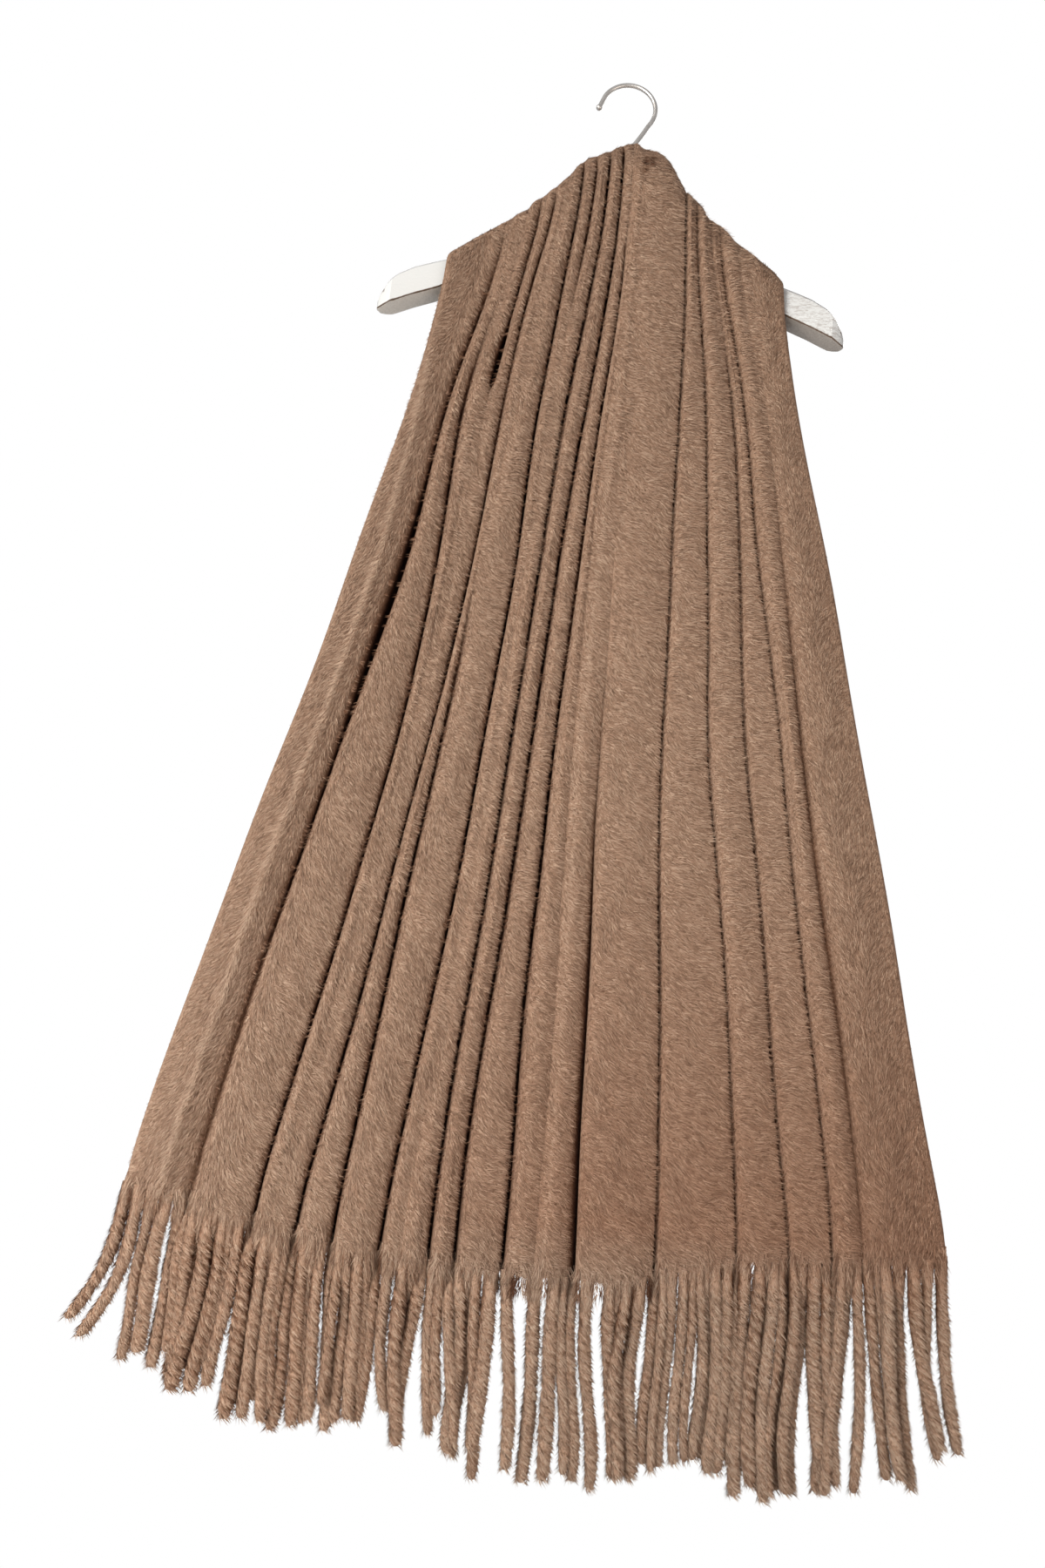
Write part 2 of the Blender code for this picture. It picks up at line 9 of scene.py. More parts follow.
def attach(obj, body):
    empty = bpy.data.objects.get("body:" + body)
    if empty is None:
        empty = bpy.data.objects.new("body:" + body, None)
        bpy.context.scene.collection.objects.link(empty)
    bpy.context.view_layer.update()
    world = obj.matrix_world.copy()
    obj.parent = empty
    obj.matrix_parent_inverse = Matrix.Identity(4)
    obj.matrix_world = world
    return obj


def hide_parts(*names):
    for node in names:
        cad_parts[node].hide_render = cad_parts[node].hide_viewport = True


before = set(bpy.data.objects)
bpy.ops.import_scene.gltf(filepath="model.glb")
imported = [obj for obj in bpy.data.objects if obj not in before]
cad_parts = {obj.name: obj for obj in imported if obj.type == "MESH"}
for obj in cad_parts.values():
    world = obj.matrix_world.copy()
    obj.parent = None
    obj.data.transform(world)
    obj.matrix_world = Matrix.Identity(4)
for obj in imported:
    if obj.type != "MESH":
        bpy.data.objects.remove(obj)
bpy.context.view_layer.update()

# The hanger's wooden arms, sawn from one board 24 mm thick and painted glossy off-white.
# Their upper edges are well rounded, the underside is nearly flat, and each end is round as
# seen from above. Heights here and below count from the arm ends, in millimetres.
MM = 0.001
HOOK_BEARING = 248.0            # from the level of the arm ends up to the model's origin
ARM_HALF, ARM_THICK_HALF = 212.5, 12.0
ARM_FORWARD = 10.0              # how far the arm ends are bent forward
UPPER_ROUND, LOWER_ROUND = 8.0, 2.0
FACE_CREASE = 20.0              # degrees that the upper rounding skips, so the face has a crisp edge
NOSE_START = 200.0              # the end's rounding, seen from above, also starts at an edge
ROUND_STEPS = 6
# place across, upper edge, lower edge
ARM_SHAPE = np.array((
    (0.0, 152.0, 100.0), (9.0, 150.5, 99.5), (18.0, 143.0, 97.0), (30.0, 133.0, 92.0),
    (60.0, 110.0, 74.0), (81.0, 95.0, 60.0), (101.0, 80.0, 46.0), (117.0, 67.5, 35.5),
    (128.0, 58.5, 28.5), (140.0, 50.5, 21.5), (150.0, 44.5, 15.5), (161.0, 39.5, 9.8),
    (181.0, 31.0, 0.8), (195.0, 22.0, -6.5), (204.0, 13.0, -10.8), (210.0, 2.5, -13.0),
    (212.5, -6.0, -12.0)))
BARE_RISE = (150.0, 165.0, 200.0, 212.0), (0.0, 1.0, 1.0, 0.0)  # the bare stretch stands a little higher
ARM_STATIONS = (0.0, 4.0, 9.0, 14.0, 18.0, 24.0, 30.0, 45.0, 60.0, 70.0, 81.0, 91.0, 101.0, 109.0,
                117.0, 122.0, 128.0, 134.0, 140.0, 145.0, 150.0, 155.0, 161.0, 168.0, 175.0, 181.0,
                186.0, 191.0, 195.0, 198.0, 200.0, 202.0, 204.0, 206.0, 208.0, 209.5, 211.0, 212.0, 212.4)
# how exposed to knocks: the face's edge and its growth towards the end, the top, the lower rounding
CREASE_KNOCK, END_KNOCK, TOP_KNOCK = 0.42, 0.45, 0.12
LOWER_KNOCKS = (0.15, 0.6, 1.0, 1.0, 0.6, 0.15)
MARKS = ("knocks", "under", "upper")


def at(across, deep, height):
    """A point given in millimetres, its height from the arm ends, as a point of the model."""
    return (across * MM, deep * MM, (height - HOOK_BEARING) * MM)


def in_model(points):
    """The same for an array of points."""
    return (points - (0.0, 0.0, HOOK_BEARING)) * MM


def arm_upper(across):
    return np.interp(np.abs(across), ARM_SHAPE[:, 0], ARM_SHAPE[:, 1])


def arm_forward(across):
    return ARM_FORWARD * (across / ARM_HALF) ** 2


def arm_section(across):
    """Points round the arm at one station, each with its three marks."""
    upper = float(arm_upper(across) + np.interp(across, *BARE_RISE))
    lower = float(np.interp(across, ARM_SHAPE[:, 0], ARM_SHAPE[:, 2]))
    nose = max(0.0, across - NOSE_START) / (ARM_HALF - NOSE_START)
    half = ARM_THICK_HALF * math.sqrt(max(0.0, 1.0 - nose))
    above = min(UPPER_ROUND, 0.45 * (upper - lower), 0.9 * half)
    below = min(LOWER_ROUND, 0.3 * (upper - lower), 0.5 * half)
    corners = ((half - above, upper - above, above, 0.0), (above - half, upper - above, above, 90.0),
               (below - half, lower + below, below, 180.0), (half - below, lower + below, below, 270.0))
    section = []
    for deep, height, radius, start in corners:
        first = start + (FACE_CREASE if start == 0.0 else 0.0)
        last = start + 90.0 - (FACE_CREASE if start == 90.0 else 0.0)
        for step in range(ROUND_STEPS):
            turn = math.radians(first + (last - first) * step / (ROUND_STEPS - 1))
            reach = radius * math.cos(turn)
            on_crease = (start, step) in ((0.0, 0), (90.0, ROUND_STEPS - 1))
            if on_crease:
                reach = math.copysign(radius, reach)
                knock = CREASE_KNOCK + END_KNOCK * nose
            else:
                knock = TOP_KNOCK if start < 180.0 else LOWER_KNOCKS[step]
            under = (start == 180.0 and step >= 3) or (start == 270.0 and step <= 2)
            point = at(across, deep + reach - arm_forward(across), height + radius * math.sin(turn))
            section.append((point, knock, float(under), float(start < 180.0 and not on_crease)))
    return section


def deselect():
    for thing in bpy.context.selected_objects:
        thing.select_set(False)


def make_active(thing):
    deselect()
    thing.select_set(True)
    bpy.context.view_layer.objects.active = thing


def apply_modifiers(thing):
    make_active(thing)
    for modifier in list(thing.modifiers):
        bpy.ops.object.modifier_apply(modifier=modifier.name)


def new_material(name):
    material = bpy.data.materials.new(name)
    material.use_nodes = True
    return material, material.node_tree, material.node_tree.nodes["Principled BSDF"]


def feed(tree, socket, value):
    """Links a socket to another one, or sets it to a plain value."""
    if isinstance(value, bpy.types.NodeSocket):
        tree.links.new(value, socket)
    elif socket.type == "RGBA" and len(value) == 3:
        socket.default_value = (*value, 1.0)
    else:
        socket.default_value = value


def dress(tree, shader, looks):
    for name, value in looks.items():
        feed(tree, shader.inputs[name], value)


def add_node(tree, kind, *inputs, **settings):
    """A new node: its first inputs in order, then other inputs or its own properties by name."""
    node = tree.nodes.new(kind)
    for name, value in settings.items():
        if name in node.inputs:
            feed(tree, node.inputs[name], value)
        else:
            setattr(node, name, value)
    for socket, value in zip(node.inputs, inputs):
        feed(tree, socket, value)
    return node


def attribute(tree, name):
    return add_node(tree, "ShaderNodeAttribute", attribute_name=name).outputs["Fac"]


def fitted(tree, value, *limits):
    """A value from one range fitted to another: from, to, and what they become (0 and 1)."""
    return add_node(tree, "ShaderNodeMapRange", value, *limits).outputs["Result"]


def noise(tree, place, **settings):
    return add_node(tree, "ShaderNodeTexNoise", place, **settings).outputs["Fac"]


def reckon(tree, operation, *inputs):
    return add_node(tree, "ShaderNodeMath", *inputs, operation=operation).outputs[0]


def mix_colours(tree, share, first, second, blend="MIX"):
    """Two colours mixed by a mask or a share; each is a socket or a plain colour."""
    node = add_node(tree, "ShaderNodeMix", share, data_type="RGBA", blend_type=blend)
    feed(tree, node.inputs[6], first)
    feed(tree, node.inputs[7], second)
    return node.outputs[2]


def colour_steps(tree, value, steps):
    """A colour ramp fed by value; steps are place and colour."""
    ramp = add_node(tree, "ShaderNodeValToRGB", value)
    elements = ramp.color_ramp.elements
    while len(elements) < len(steps):
        elements.new(0.5)
    for element, (place, colour) in zip(elements, steps):
        element.position = place
        element.color = (*colour, 1.0)
    return ramp.outputs["Color"]


deselect()
bpy.ops.mesh.primitive_circle_add(vertices=4 * ROUND_STEPS, radius=0.01, fill_type="NOTHING")
arms = bpy.context.object
arms.name = "hanger_arms"
bpy.ops.object.mode_set(mode="EDIT")
shape = bmesh.from_edit_mesh(arms.data)
for mark in MARKS:
    shape.verts.layers.float.new(mark)
ring = list(shape.verts)
for station in ARM_STATIONS:
    if station > ARM_STATIONS[0]:
        order = {tuple(round(c, 7) for c in vert.co): spot for spot, vert in enumerate(ring)}
        bpy.ops.mesh.extrude_edges_move()
        shape = bmesh.from_edit_mesh(arms.data)
        picked = [vert for vert in shape.verts if vert.select]
        ring = sorted(picked, key=lambda vert: order[tuple(round(c, 7) for c in vert.co)])
    layers = [shape.verts.layers.float[mark] for mark in MARKS]
    for vert, (point, *values) in zip(ring, arm_section(station)):
        vert.co = point
        for layer, value in zip(layers, values):
            vert[layer] = value
    bmesh.update_edit_mesh(arms.data)
bpy.ops.mesh.edge_face_add()
bpy.ops.object.mode_set(mode="OBJECT")
other_arm = arms.modifiers.new("other_arm", "MIRROR")
other_arm.merge_threshold = 0.00002
apply_modifiers(arms)
bpy.ops.object.mode_set(mode="EDIT")
bpy.ops.mesh.select_all(action="SELECT")
bpy.ops.mesh.normals_make_consistent(inside=False)
bpy.ops.object.mode_set(mode="OBJECT")
bpy.ops.object.shade_smooth_by_angle(angle=math.radians(18.0))

# paint, and how it looks where it is scuffed; then, from the left end to the right one, painted shade
# on the upper rounding, and painted light on the underside at the left turning to painted shade at the
# right
PAINT_LIGHT, PAINT_DULL = (0.72, 0.72, 0.705), (0.45, 0.415, 0.39)
UPPER_SHADE_LEFT, UPPER_SHADE_RIGHT = (0.66, 0.65, 0.635), (0.38, 0.355, 0.35)
UNDER_LIGHT_LEFT, UNDER_SHADE_RIGHT = (0.93, 0.88, 0.80), (0.45, 0.39, 0.34)
WORN_WOOD = (0.115, 0.070, 0.045)
material, tree, shader = new_material("gloss_paint_on_wood")
place = add_node(tree, "ShaderNodeTexCoord").outputs["Object"]
slanted = add_node(tree, "ShaderNodeMapping", place, Rotation=(0.0, 0.5, 0.0), Scale=(150.0, 150.0, 560.0))
scuffs = noise(tree, slanted.outputs["Vector"], Scale=1.0, Detail=4.0, Roughness=0.6, Distortion=1.2)
aside = add_node(tree, "ShaderNodeSeparateXYZ", place).outputs["X"]
scuffs_and_shade_to_right = fitted(tree, aside, -0.05, 0.18, 0.12, 0.85)
scuffed = colour_steps(tree, scuffs, ((0.46, (0.0, 0.0, 0.0)), (0.62, (1.0, 1.0, 1.0))))
tone = mix_colours(tree, reckon(tree, "MULTIPLY", scuffed, scuffs_and_shade_to_right), PAINT_LIGHT, PAINT_DULL)
# painted shade on the upper rounding and painted light and shade on the underside, by the same
# left-to-right mask as the scuffs
tone = mix_colours(tree, attribute(tree, "upper"), tone, mix_colours(tree, scuffs_and_shade_to_right, UPPER_SHADE_LEFT, UPPER_SHADE_RIGHT))
tone = mix_colours(tree, attribute(tree, "under"), tone, mix_colours(tree, scuffs_and_shade_to_right, UNDER_LIGHT_LEFT, UNDER_SHADE_RIGHT))
chips = noise(tree, place, Scale=150.0, Detail=3.0, Roughness=0.7)
bare = fitted(tree, reckon(tree, "MULTIPLY_ADD", chips, 0.9, attribute(tree, "knocks")), 1.06, 1.26)
brushmarks = reckon(tree, "MULTIPLY", scuffs, scuffs_and_shade_to_right)
crackle = add_node(tree, "ShaderNodeBump", Strength=0.6, Distance=0.0012, Height=brushmarks)
dress(tree, shader, {"Base Color": mix_colours(tree, bare, tone, WORN_WOOD),
                     "Roughness": fitted(tree, scuffs, 0.35, 0.7, 0.16, 0.42),
                     "Normal": crackle.outputs["Normal"], "Coat Weight": 0.35, "Coat Roughness": 0.12})
arms.data.materials.append(material)
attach(arms, "root")
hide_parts("hanger_wood")

# The hook: steel wire 4.2 mm thick, bent into an open loop, with a small ball formed at its
# tip. Its shank is screwed into the top of the wood, between the scarf's pleats.
WIRE_RADIUS = 2.1
LOOP_RADIUS = 26.0
LOOP_HEIGHT = HOOK_BEARING + WIRE_RADIUS - LOOP_RADIUS
LOOP_START, LOOP_END, LOOP_STEPS = 152.0, -38.0, 48
TIP_BEND = ((-27.6, 223.4), (-26.6, 226.2), (-25.2, 230.0))
SHANK = ((14.2, 195.6), (9.8, 188.8), (5.0, 180.4), (1.7, 172.0), (0.2, 164.0), (0.0, 151.0))
TIP_BALL = 2.9

turns = np.radians(np.linspace(LOOP_START, LOOP_END, LOOP_STEPS + 1))
bend = [(LOOP_RADIUS * math.cos(turn), LOOP_HEIGHT + LOOP_RADIUS * math.sin(turn)) for turn in turns]
route = list(TIP_BEND) + bend + list(SHANK)
deselect()
bpy.ops.curve.primitive_nurbs_path_add()
hook = bpy.context.object
hook.name = "hook_wire"
hook.data.splines.clear()
line = hook.data.splines.new("NURBS")
line.points.add(len(route) - 1)
for point, (across, height) in zip(line.points, route):
    point.co = (*at(across, 0.0, height), 1.0)
line.use_endpoint_u = True
line.order_u = 4
line.resolution_u = 3
hook.data.bevel_depth = WIRE_RADIUS * MM
hook.data.bevel_resolution = 5
hook.data.use_fill_caps = True
bpy.ops.object.convert(target="MESH")
ball_place = at(TIP_BEND[0][0], 0.0, TIP_BEND[0][1])
bpy.ops.mesh.primitive_uv_sphere_add(segments=20, ring_count=12, radius=TIP_BALL * MM, location=ball_place)
hook_tip = bpy.context.object
make_active(hook)
hook_tip.select_set(True)
bpy.ops.object.join()
bpy.ops.object.transform_apply(location=True, rotation=True, scale=True)
bpy.ops.object.shade_smooth()

STEEL_LIGHT, STEEL_DARK = (0.80, 0.755, 0.71), (0.69, 0.65, 0.61)
material, tree, shader = new_material("satin_steel_wire")
drawn = noise(tree, add_node(tree, "ShaderNodeTexCoord").outputs["Object"], Scale=160.0, Detail=2.0)
dress(tree, shader, {"Base Color": colour_steps(tree, drawn, ((0.35, STEEL_DARK), (0.65, STEEL_LIGHT))),
                     "Roughness": fitted(tree, drawn, 0.0, 1.0, 0.34, 0.42), "Metallic": 1.0})
hook.data.materials.append(material)
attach(hook, "root")
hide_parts("hanger_hook")

# The scarf: one woven rectangle of about 0.90 by 1.80 m, brushed until a soft nap covers it.
# It is gathered in pleats over the hanger and falls in rolls in front and behind. Each row
# of the table is a groove between two rolls; the first and last are the cloth's side edges.
WALL = 1.5
LAY_CLEAR, TOP_CLEAR, SEAM_DROP = 1.3, 3.1, 12.0
# half width of a tight groove, and the most rounding of the rolls beside it, left and right of the middle
LEFT_GROOVES, RIGHT_GROOVES, GROOVES_CHANGE = (1.8, 6.2), (1.35, 3.7), 12.0
GROOVE_FLOOR, DEEP_FLOOR = 0.5, -9.0    # least height off the base, on the wood and below it
TOP_FADE, TOP_DROP_SHARE = 36.0, 0.12   # grooves fade to this share as they near the shoulder line
OUTLINE_NAP = 2.0               # the shoulder line below is the nap's outline, this far over the cloth
BACK_SPREAD = 0.97
NECK_REACH, ARM_REACH = 60.0, 108.0
SHOULDER_LINE = np.array((
    (-150.0, 50.0), (-147.0, 54.0), (-134.0, 63.0), (-117.0, 77.0), (-101.0, 90.0), (-91.0, 96.0),
    (-81.0, 101.5), (-62.0, 121.0), (-47.0, 140.0), (-39.0, 154.0), (-33.0, 161.0), (-20.0, 166.0),
    (-10.0, 171.0), (0.0, 179.0), (11.0, 181.0), (17.0, 175.5), (29.0, 174.5), (37.0, 170.0),
    (43.0, 163.5), (51.5, 147.0), (59.0, 133.0), (69.0, 127.0), (76.0, 117.0), (81.0, 109.0),
    (92.0, 105.0), (104.0, 92.0), (120.0, 80.0), (133.0, 68.5), (144.0, 60.0), (150.0, 50.0)))
FRONT_HEM = np.array((
    (-330.0, -783.0), (-280.0, -792.0), (-220.0, -805.0), (-160.0, -818.0), (-100.0, -822.0),
    (-30.0, -827.0), (55.0, -827.0), (80.0, -824.0), (110.0, -815.0), (150.0, -806.0),
    (200.0, -800.0), (260.0, -797.0), (328.0, -788.0)))
BACK_HEM = np.array(((-300.0, -596.0), (-120.0, -603.0), (0.0, -600.0), (150.0, -606.0), (300.0, -594.0)))
LEVELS = np.array((100.0, 50.0, 0.0, -100.0, -250.0, -400.0, -600.0, -790.0))
NECK_CREST = (22.0, 22.0, 21.0, 20.0, 19.0, 19.0, 19.0, 18.0)
ARM_CREST = (5.0, 6.5, 9.0, 16.0, 22.0, 22.0, 20.0, 18.0)
# name, where it crosses the shoulder line, place across at LEVELS, depth at LEVELS,
# which sides of it slope softly, points along the roll to its right, that roll's height
FOLDS = (
    ("left_edge", -150.0, (-150, -151, -154, -171, -205, -239, -288, -328),
     (4, 5, 7, 12, 17, 17, 15, 14), "", 13, 1.00),
    ("outer_left", -100.0, (-99, -103.5, -113.5, -137.5, -158, -191.5, -236, -272),
     (3, 4, 8, 15, 21, 21, 8, 6), "", 7, 1.05),
    ("branch_left", -86.0, (-85.5, -89, -101, -124, -131, -147, -180.5, -220),
     (0, 0, 1, 9, 16, 16, 17, 16), "", 3, 1.00),
    ("pocket_left", -69.0, (-68, -77, -86, -105, -116, -135, -166, -204),
     (5, 12, 16, 1, 0, 0, 0, 0), "", 3, 0.95),
    ("second_left", -57.5, (-57, -66, -76.5, -87, -101, -121, -151, -187),
     (8, 8, 11, 6, 18, 18, 16, 16), "", 3, 1.00),
    ("split_left", -47.0, (-47, -54.5, -64, -75, -94, -113, -133, -157),
     (0, 0, 0, 0, 0, 12, 15, 15), "", 4, 1.05),
    ("third_left", -36.0, (-36.5, -42, -48, -56, -64.5, -75.5, -94.5, -119.5),
     (15, 17, 18, 17, 16, 16, 16, 16), "", 3, 0.95),
    ("short_left", -24.5, (-24, -30, -35, -45, -54, -64, -82, -100),
     (11, 9, 2, 0, 0, 0, 0, 0), "", 3, 1.00),
    ("fourth_left", -13.0, (-12.5, -16.5, -22, -35, -43.5, -53.5, -69, -81),
     (14, 14, 14, 15, 15, 15, 15, 14), "", 3, 0.95),
    ("centre_left", -1.0, (0, -1.5, -5, -17, -27.5, -36.5, -50, -61.5),
     (16, 16, 15, 15, 14, 14, 13, 14), "", 3, 0.90),
    ("centre", 9.0, (10, 8.5, 7.5, -1.5, -10, -17, -23.5, -23),
     (0, 4, 12, 14, 9, 14, 14, 15), "", 3, 1.05),
    ("faint_line", 13.0, (13, 13, 12, 5, -0.3, -3.2, 0.9, 2.3),
     (0, 0, 0, 1, 2, 2, 2, 2), "both", 4, 1.08),
    ("pinch", 19.0, (17, 20, 22, 21, 21, 20.5, 25.5, 33.5),
     (1, 0, 0, 0, 0, 4, 12, 15), "left", 8, 1.10),
    ("first_right", 59.0, (58.5, 62.5, 65, 67.5, 69, 71, 84, 94.5),
     (14, 14, 14, 15, 15, 15, 15, 15), "", 5, 0.95),
    ("second_right", 69.5, (69, 73.5, 80, 91.5, 100.5, 111.5, 138, 158),
     (7, 8, 10, 13, 13, 13, 15, 15), "", 4, 1.00),
    ("third_right", 81.5, (81, 86.5, 97, 117, 129, 142, 171, 198.5),
     (5, 3, 2, 9, 9, 11, 14, 15), "", 4, 0.80),
    ("fourth_right", 92.0, (90.5, 95, 107, 127, 147, 173.5, 203, 234),
     (3, 7, 10, 12, 14, 16, 15, 14), "", 4, 1.05),
    ("panel_crease", 112.0, (112, 116, 127, 146, 167, 190, 226, 258),
     (0, 0, 0, 1.5, 5, 7, 7, 4), "both", 11, 1.00),
    ("right_edge", 150.0, (150, 152, 158, 175, 209.5, 242.5, 284, 325),
     (4, 5, 7, 12, 17, 17, 15, 14), "", 0, 1.00),
)
# grooves that gape for a stretch: its middle height, half length, extra half width, extra depth
GAPING = {"outer_left": (-300.0, 125.0, 2.4, 4.0), "pocket_left": (-62.0, 32.0, 2.6, 15.0),
          "second_left": (-312.0, 60.0, 2.0, 6.0)}
PAINTED_SHADE_FROM, PAINTED_SHADE_TO = 2.5, 14.5  # depth in a groove at which painted shade starts on the cloth, and where it is darkest
WALL_STEP = 0.15                # steps up to this one are a groove's straight wall, the rest its rounding
EDGE_STEPS = (0.0, WALL_STEP, 0.32, 0.5, 0.72, 1.0)
FAINT_LINE = next(fold[2] for fold in FOLDS if fold[0] == "faint_line")
OUTER_RIDGE = (-150, -150, -151, -158, -177, -209, -257, -293)      # pressed-in ridge, across at LEVELS
OUTER_RIDGE_DROP = (0, 0, 1, 3, 4, 4, 4, 3)                         # how far it falls away outside
RIDGE_RISE, RIDGE_HALF = (0, 0, 0.4, 1.6, 2.2, 2.2, 2.0, 1.2), 3.6
WANDER, PUFF = 1.5, 1.6         # how far the fold lines wander, and how much the rolls swell
FRONT_ROWS, TOP_ROWS, BACK_ROWS = 86, 13, 40
SLOT_FROM = 62.0                # the top is open round the hook's wire, from here to the back

luck = np.random.default_rng(411)
wander_waves = luck.uniform((0.010, 0.0), (0.026, 6.28), (len(FOLDS), 3, 2))
puff_waves = luck.uniform((0.012, 0.0), (0.034, 6.28), (len(FOLDS), 3, 2))


def by_level(values, heights, knots=LEVELS):
    """A table read at heights, its corners eased over a hand's width."""
    near = [np.interp(-(heights + step), -knots, values) for step in (-40.0, -20.0, 0.0, 20.0, 40.0)]
    return sum(near) / len(near)


def waves(table, heights, size):
    return size * sum(np.sin(heights * rate + start) for rate, start in table) / len(table)


def shoulder(across):
    return np.interp(across, SHOULDER_LINE[:, 0], SHOULDER_LINE[:, 1]) - OUTLINE_NAP


def fold_line(number, heights):
    top, across = FOLDS[number][1:3]
    peak = float(shoulder(top))
    used = LEVELS < peak - SEAM_DROP
    knots = np.concatenate(((peak,), LEVELS[used]))
    line = by_level(np.concatenate(((top,), np.array(across, float)[used])), heights, knots)
    return line + waves(wander_waves[number], heights, WANDER) * np.clip((60.0 - heights) / 120.0, 0.0, 1.0)


def crest_off(top_across, heights):
    out = np.clip((abs(top_across) - NECK_REACH) / (ARM_REACH - NECK_REACH), 0.0, 1.0)
    return (1.0 - out) * by_level(NECK_CREST, heights) + out * by_level(ARM_CREST, heights)


def groove_side(number, heights, width, side):
    """One side of a groove: half width, rounding, its drop, soft slope, depth, tightness, bluntness."""
    name, top, soft_sides = FOLDS[number][0], FOLDS[number][1], FOLDS[number][4]
    fade = np.clip((shoulder(top) - heights) / TOP_FADE, TOP_DROP_SHARE, 1.0)
    middle, reach, wider, deeper = GAPING.get(name, (0.0, 1.0, 0.0, 0.0))
    gape = np.clip(1.0 - ((heights - middle) / reach) ** 2, 0.0, 1.0)
    depth = by_level(FOLDS[number][3], heights) * fade + deeper * gape
    tight = np.clip((depth - 4.0) / 5.0, 0.0, 1.0) * (0.0 if soft_sides in (side, "both") else 1.0)
    narrow, most = LEFT_GROOVES if top < GROOVES_CHANGE else RIGHT_GROOVES
    half = np.minimum(narrow + wider * gape, 0.26 * width)
    rounding = np.clip(0.3 * width, 1.5, most)
    rounding = np.minimum(rounding, np.maximum(0.1, 0.47 * width - half))
    soft_slope = np.minimum(4.0 + 0.6 * depth, (0.3 + 0.02 * depth) * width)
    return half, rounding, np.minimum(depth, 1.1 * rounding), soft_slope, depth, tight, soft_sides == "both"


def groove_edge(side, step):
    """Place from the fold's line and drop under the crest, from the groove's wall (0) to the roll (1)."""
    half, rounding, round_drop, soft_slope, depth, tight, blunt = side
    rounded = max(0.0, step - WALL_STEP) / (1.0 - WALL_STEP)
    hard_away = half + rounding * (0.03 * min(1.0, step / WALL_STEP) + 0.97 * rounded)
    hard_drop = round_drop * (1.0 - rounded) ** 2 + (depth - round_drop) * max(0.0, 1.0 - step / WALL_STEP)
    eased = 0.06 + 0.94 * step
    away = tight * hard_away + (1.0 - tight) * soft_slope * eased
    slope = (1.0 - eased ** 1.5) ** 2 if blunt else (1.0 - eased) ** 1.8
    return away, tight * hard_drop + (1.0 - tight) * depth * slope


def roll_heights(number, heights, share):
    """Crest of a roll and of the grooves beside it at heights."""
    top = FOLDS[number][1] + share * (FOLDS[number + 1][1] - FOLDS[number][1])
    level = crest_off(top, heights)
    before = FOLDS[max(0, number - 1)][6]
    after = FOLDS[min(len(FOLDS) - 2, number + 1)][6]
    own = FOLDS[number][6]
    swell = waves(puff_waves[number], heights, PUFF) * np.clip((40.0 - heights) / 160.0, 0.0, 1.0)
    return level * own + swell, level * 0.5 * (before + own), level * 0.5 * (after + own)


def ridge_drop(number, across, heights):
    if number != 0:
        return 0.0
    aside = across - by_level(OUTER_RIDGE, heights)
    outside = np.clip(-aside / 24.0, 0.0, 1.0)
    ridge = by_level(RIDGE_RISE, heights) * np.exp(-(aside / RIDGE_HALF) ** 2)
    return by_level(OUTER_RIDGE_DROP, heights) * outside * outside * (3.0 - 2.0 * outside) - ridge


def column_across(column, left, right, sides):
    """Place across of a column between two fold lines, and its drop under the roll beside its groove."""
    kind, step = column[1:]
    if kind == "groove":
        return left, sides[0][4]
    if kind == "end":
        return right, sides[1][4]
    if kind == "left":
        away, drop = groove_edge(sides[0], step)
        return left + away, drop
    if kind == "right":
        away, drop = groove_edge(sides[1], step)
        return right - away, drop
    start = left + groove_edge(sides[0], 1.0)[0]
    stop = right - groove_edge(sides[1], 1.0)[0]
    return start + step * (stop - start), 0.0 * sides[0][4]


def column_place(column, heights):
    """Place across, height off the base and painted shade of one column of the cloth, at many heights."""
    number, kind, step = column
    left, right = fold_line(number, heights), fold_line(number + 1, heights)
    width = right - left
    share = {"groove": 0.0, "left": 0.03, "right": 0.97, "end": 1.0}.get(kind, step)
    crest, crest_left, crest_right = roll_heights(number, heights, share)
    sides = [groove_side(number, heights, width, "right"), groove_side(number + 1, heights, width, "left")]
    edge_left, edge_right = 0.5 * (crest + crest_left), 0.5 * (crest + crest_right)
    across, drop = column_across(column, left, right, sides)
    if kind == "crest":
        bulge = np.minimum(0.05 * width, 4.0) + crest - 0.5 * (edge_left + edge_right)
        off = edge_left + step * (edge_right - edge_left) + 4.0 * step * (1.0 - step) * bulge
    else:
        level = {"groove": crest_left, "end": crest_right, "left": edge_left, "right": edge_right}[kind]
        off = level - drop
    off = off - ridge_drop(number, across, heights)
    floor_off = np.interp(-heights, (0.0, 120.0), (GROOVE_FLOOR, DEEP_FLOOR))
    at_left_edge = number == 0 and kind in ("groove", "left")
    at_right_edge = kind == "end" or (number == len(FOLDS) - 2 and kind == "right")
    if at_left_edge or at_right_edge:
        drop = np.zeros_like(heights)
    return across, np.maximum(floor_off, off), np.clip((drop - PAINTED_SHADE_FROM) / (PAINTED_SHADE_TO - PAINTED_SHADE_FROM), 0.0, 1.0)


def column_top(column):
    """Place across and rise over the hanger, on the shoulder line."""
    number = column[0]
    left, right = FOLDS[number][1], FOLDS[number + 1][1]
    over_all = np.array((200.0,))   # a height over every shoulder, where grooves have faded most
    sides = [groove_side(number, over_all, right - left, "right"),
             groove_side(number + 1, over_all, right - left, "left")]
    across = float(np.ravel(column_across(column, left, right, sides)[0])[0])
    return across, max(GROOVE_FLOOR, float(shoulder(across) - arm_upper(across)) - TOP_CLEAR)


def base_off(heights):
    return (ARM_THICK_HALF + LAY_CLEAR) * (1.0 - 0.3 * np.clip(-heights / 300.0, 0.0, 1.0))


def lean(top_across, heights):
    return -arm_forward(top_across) * np.clip(1.0 + heights / 160.0, 0.0, 1.0)


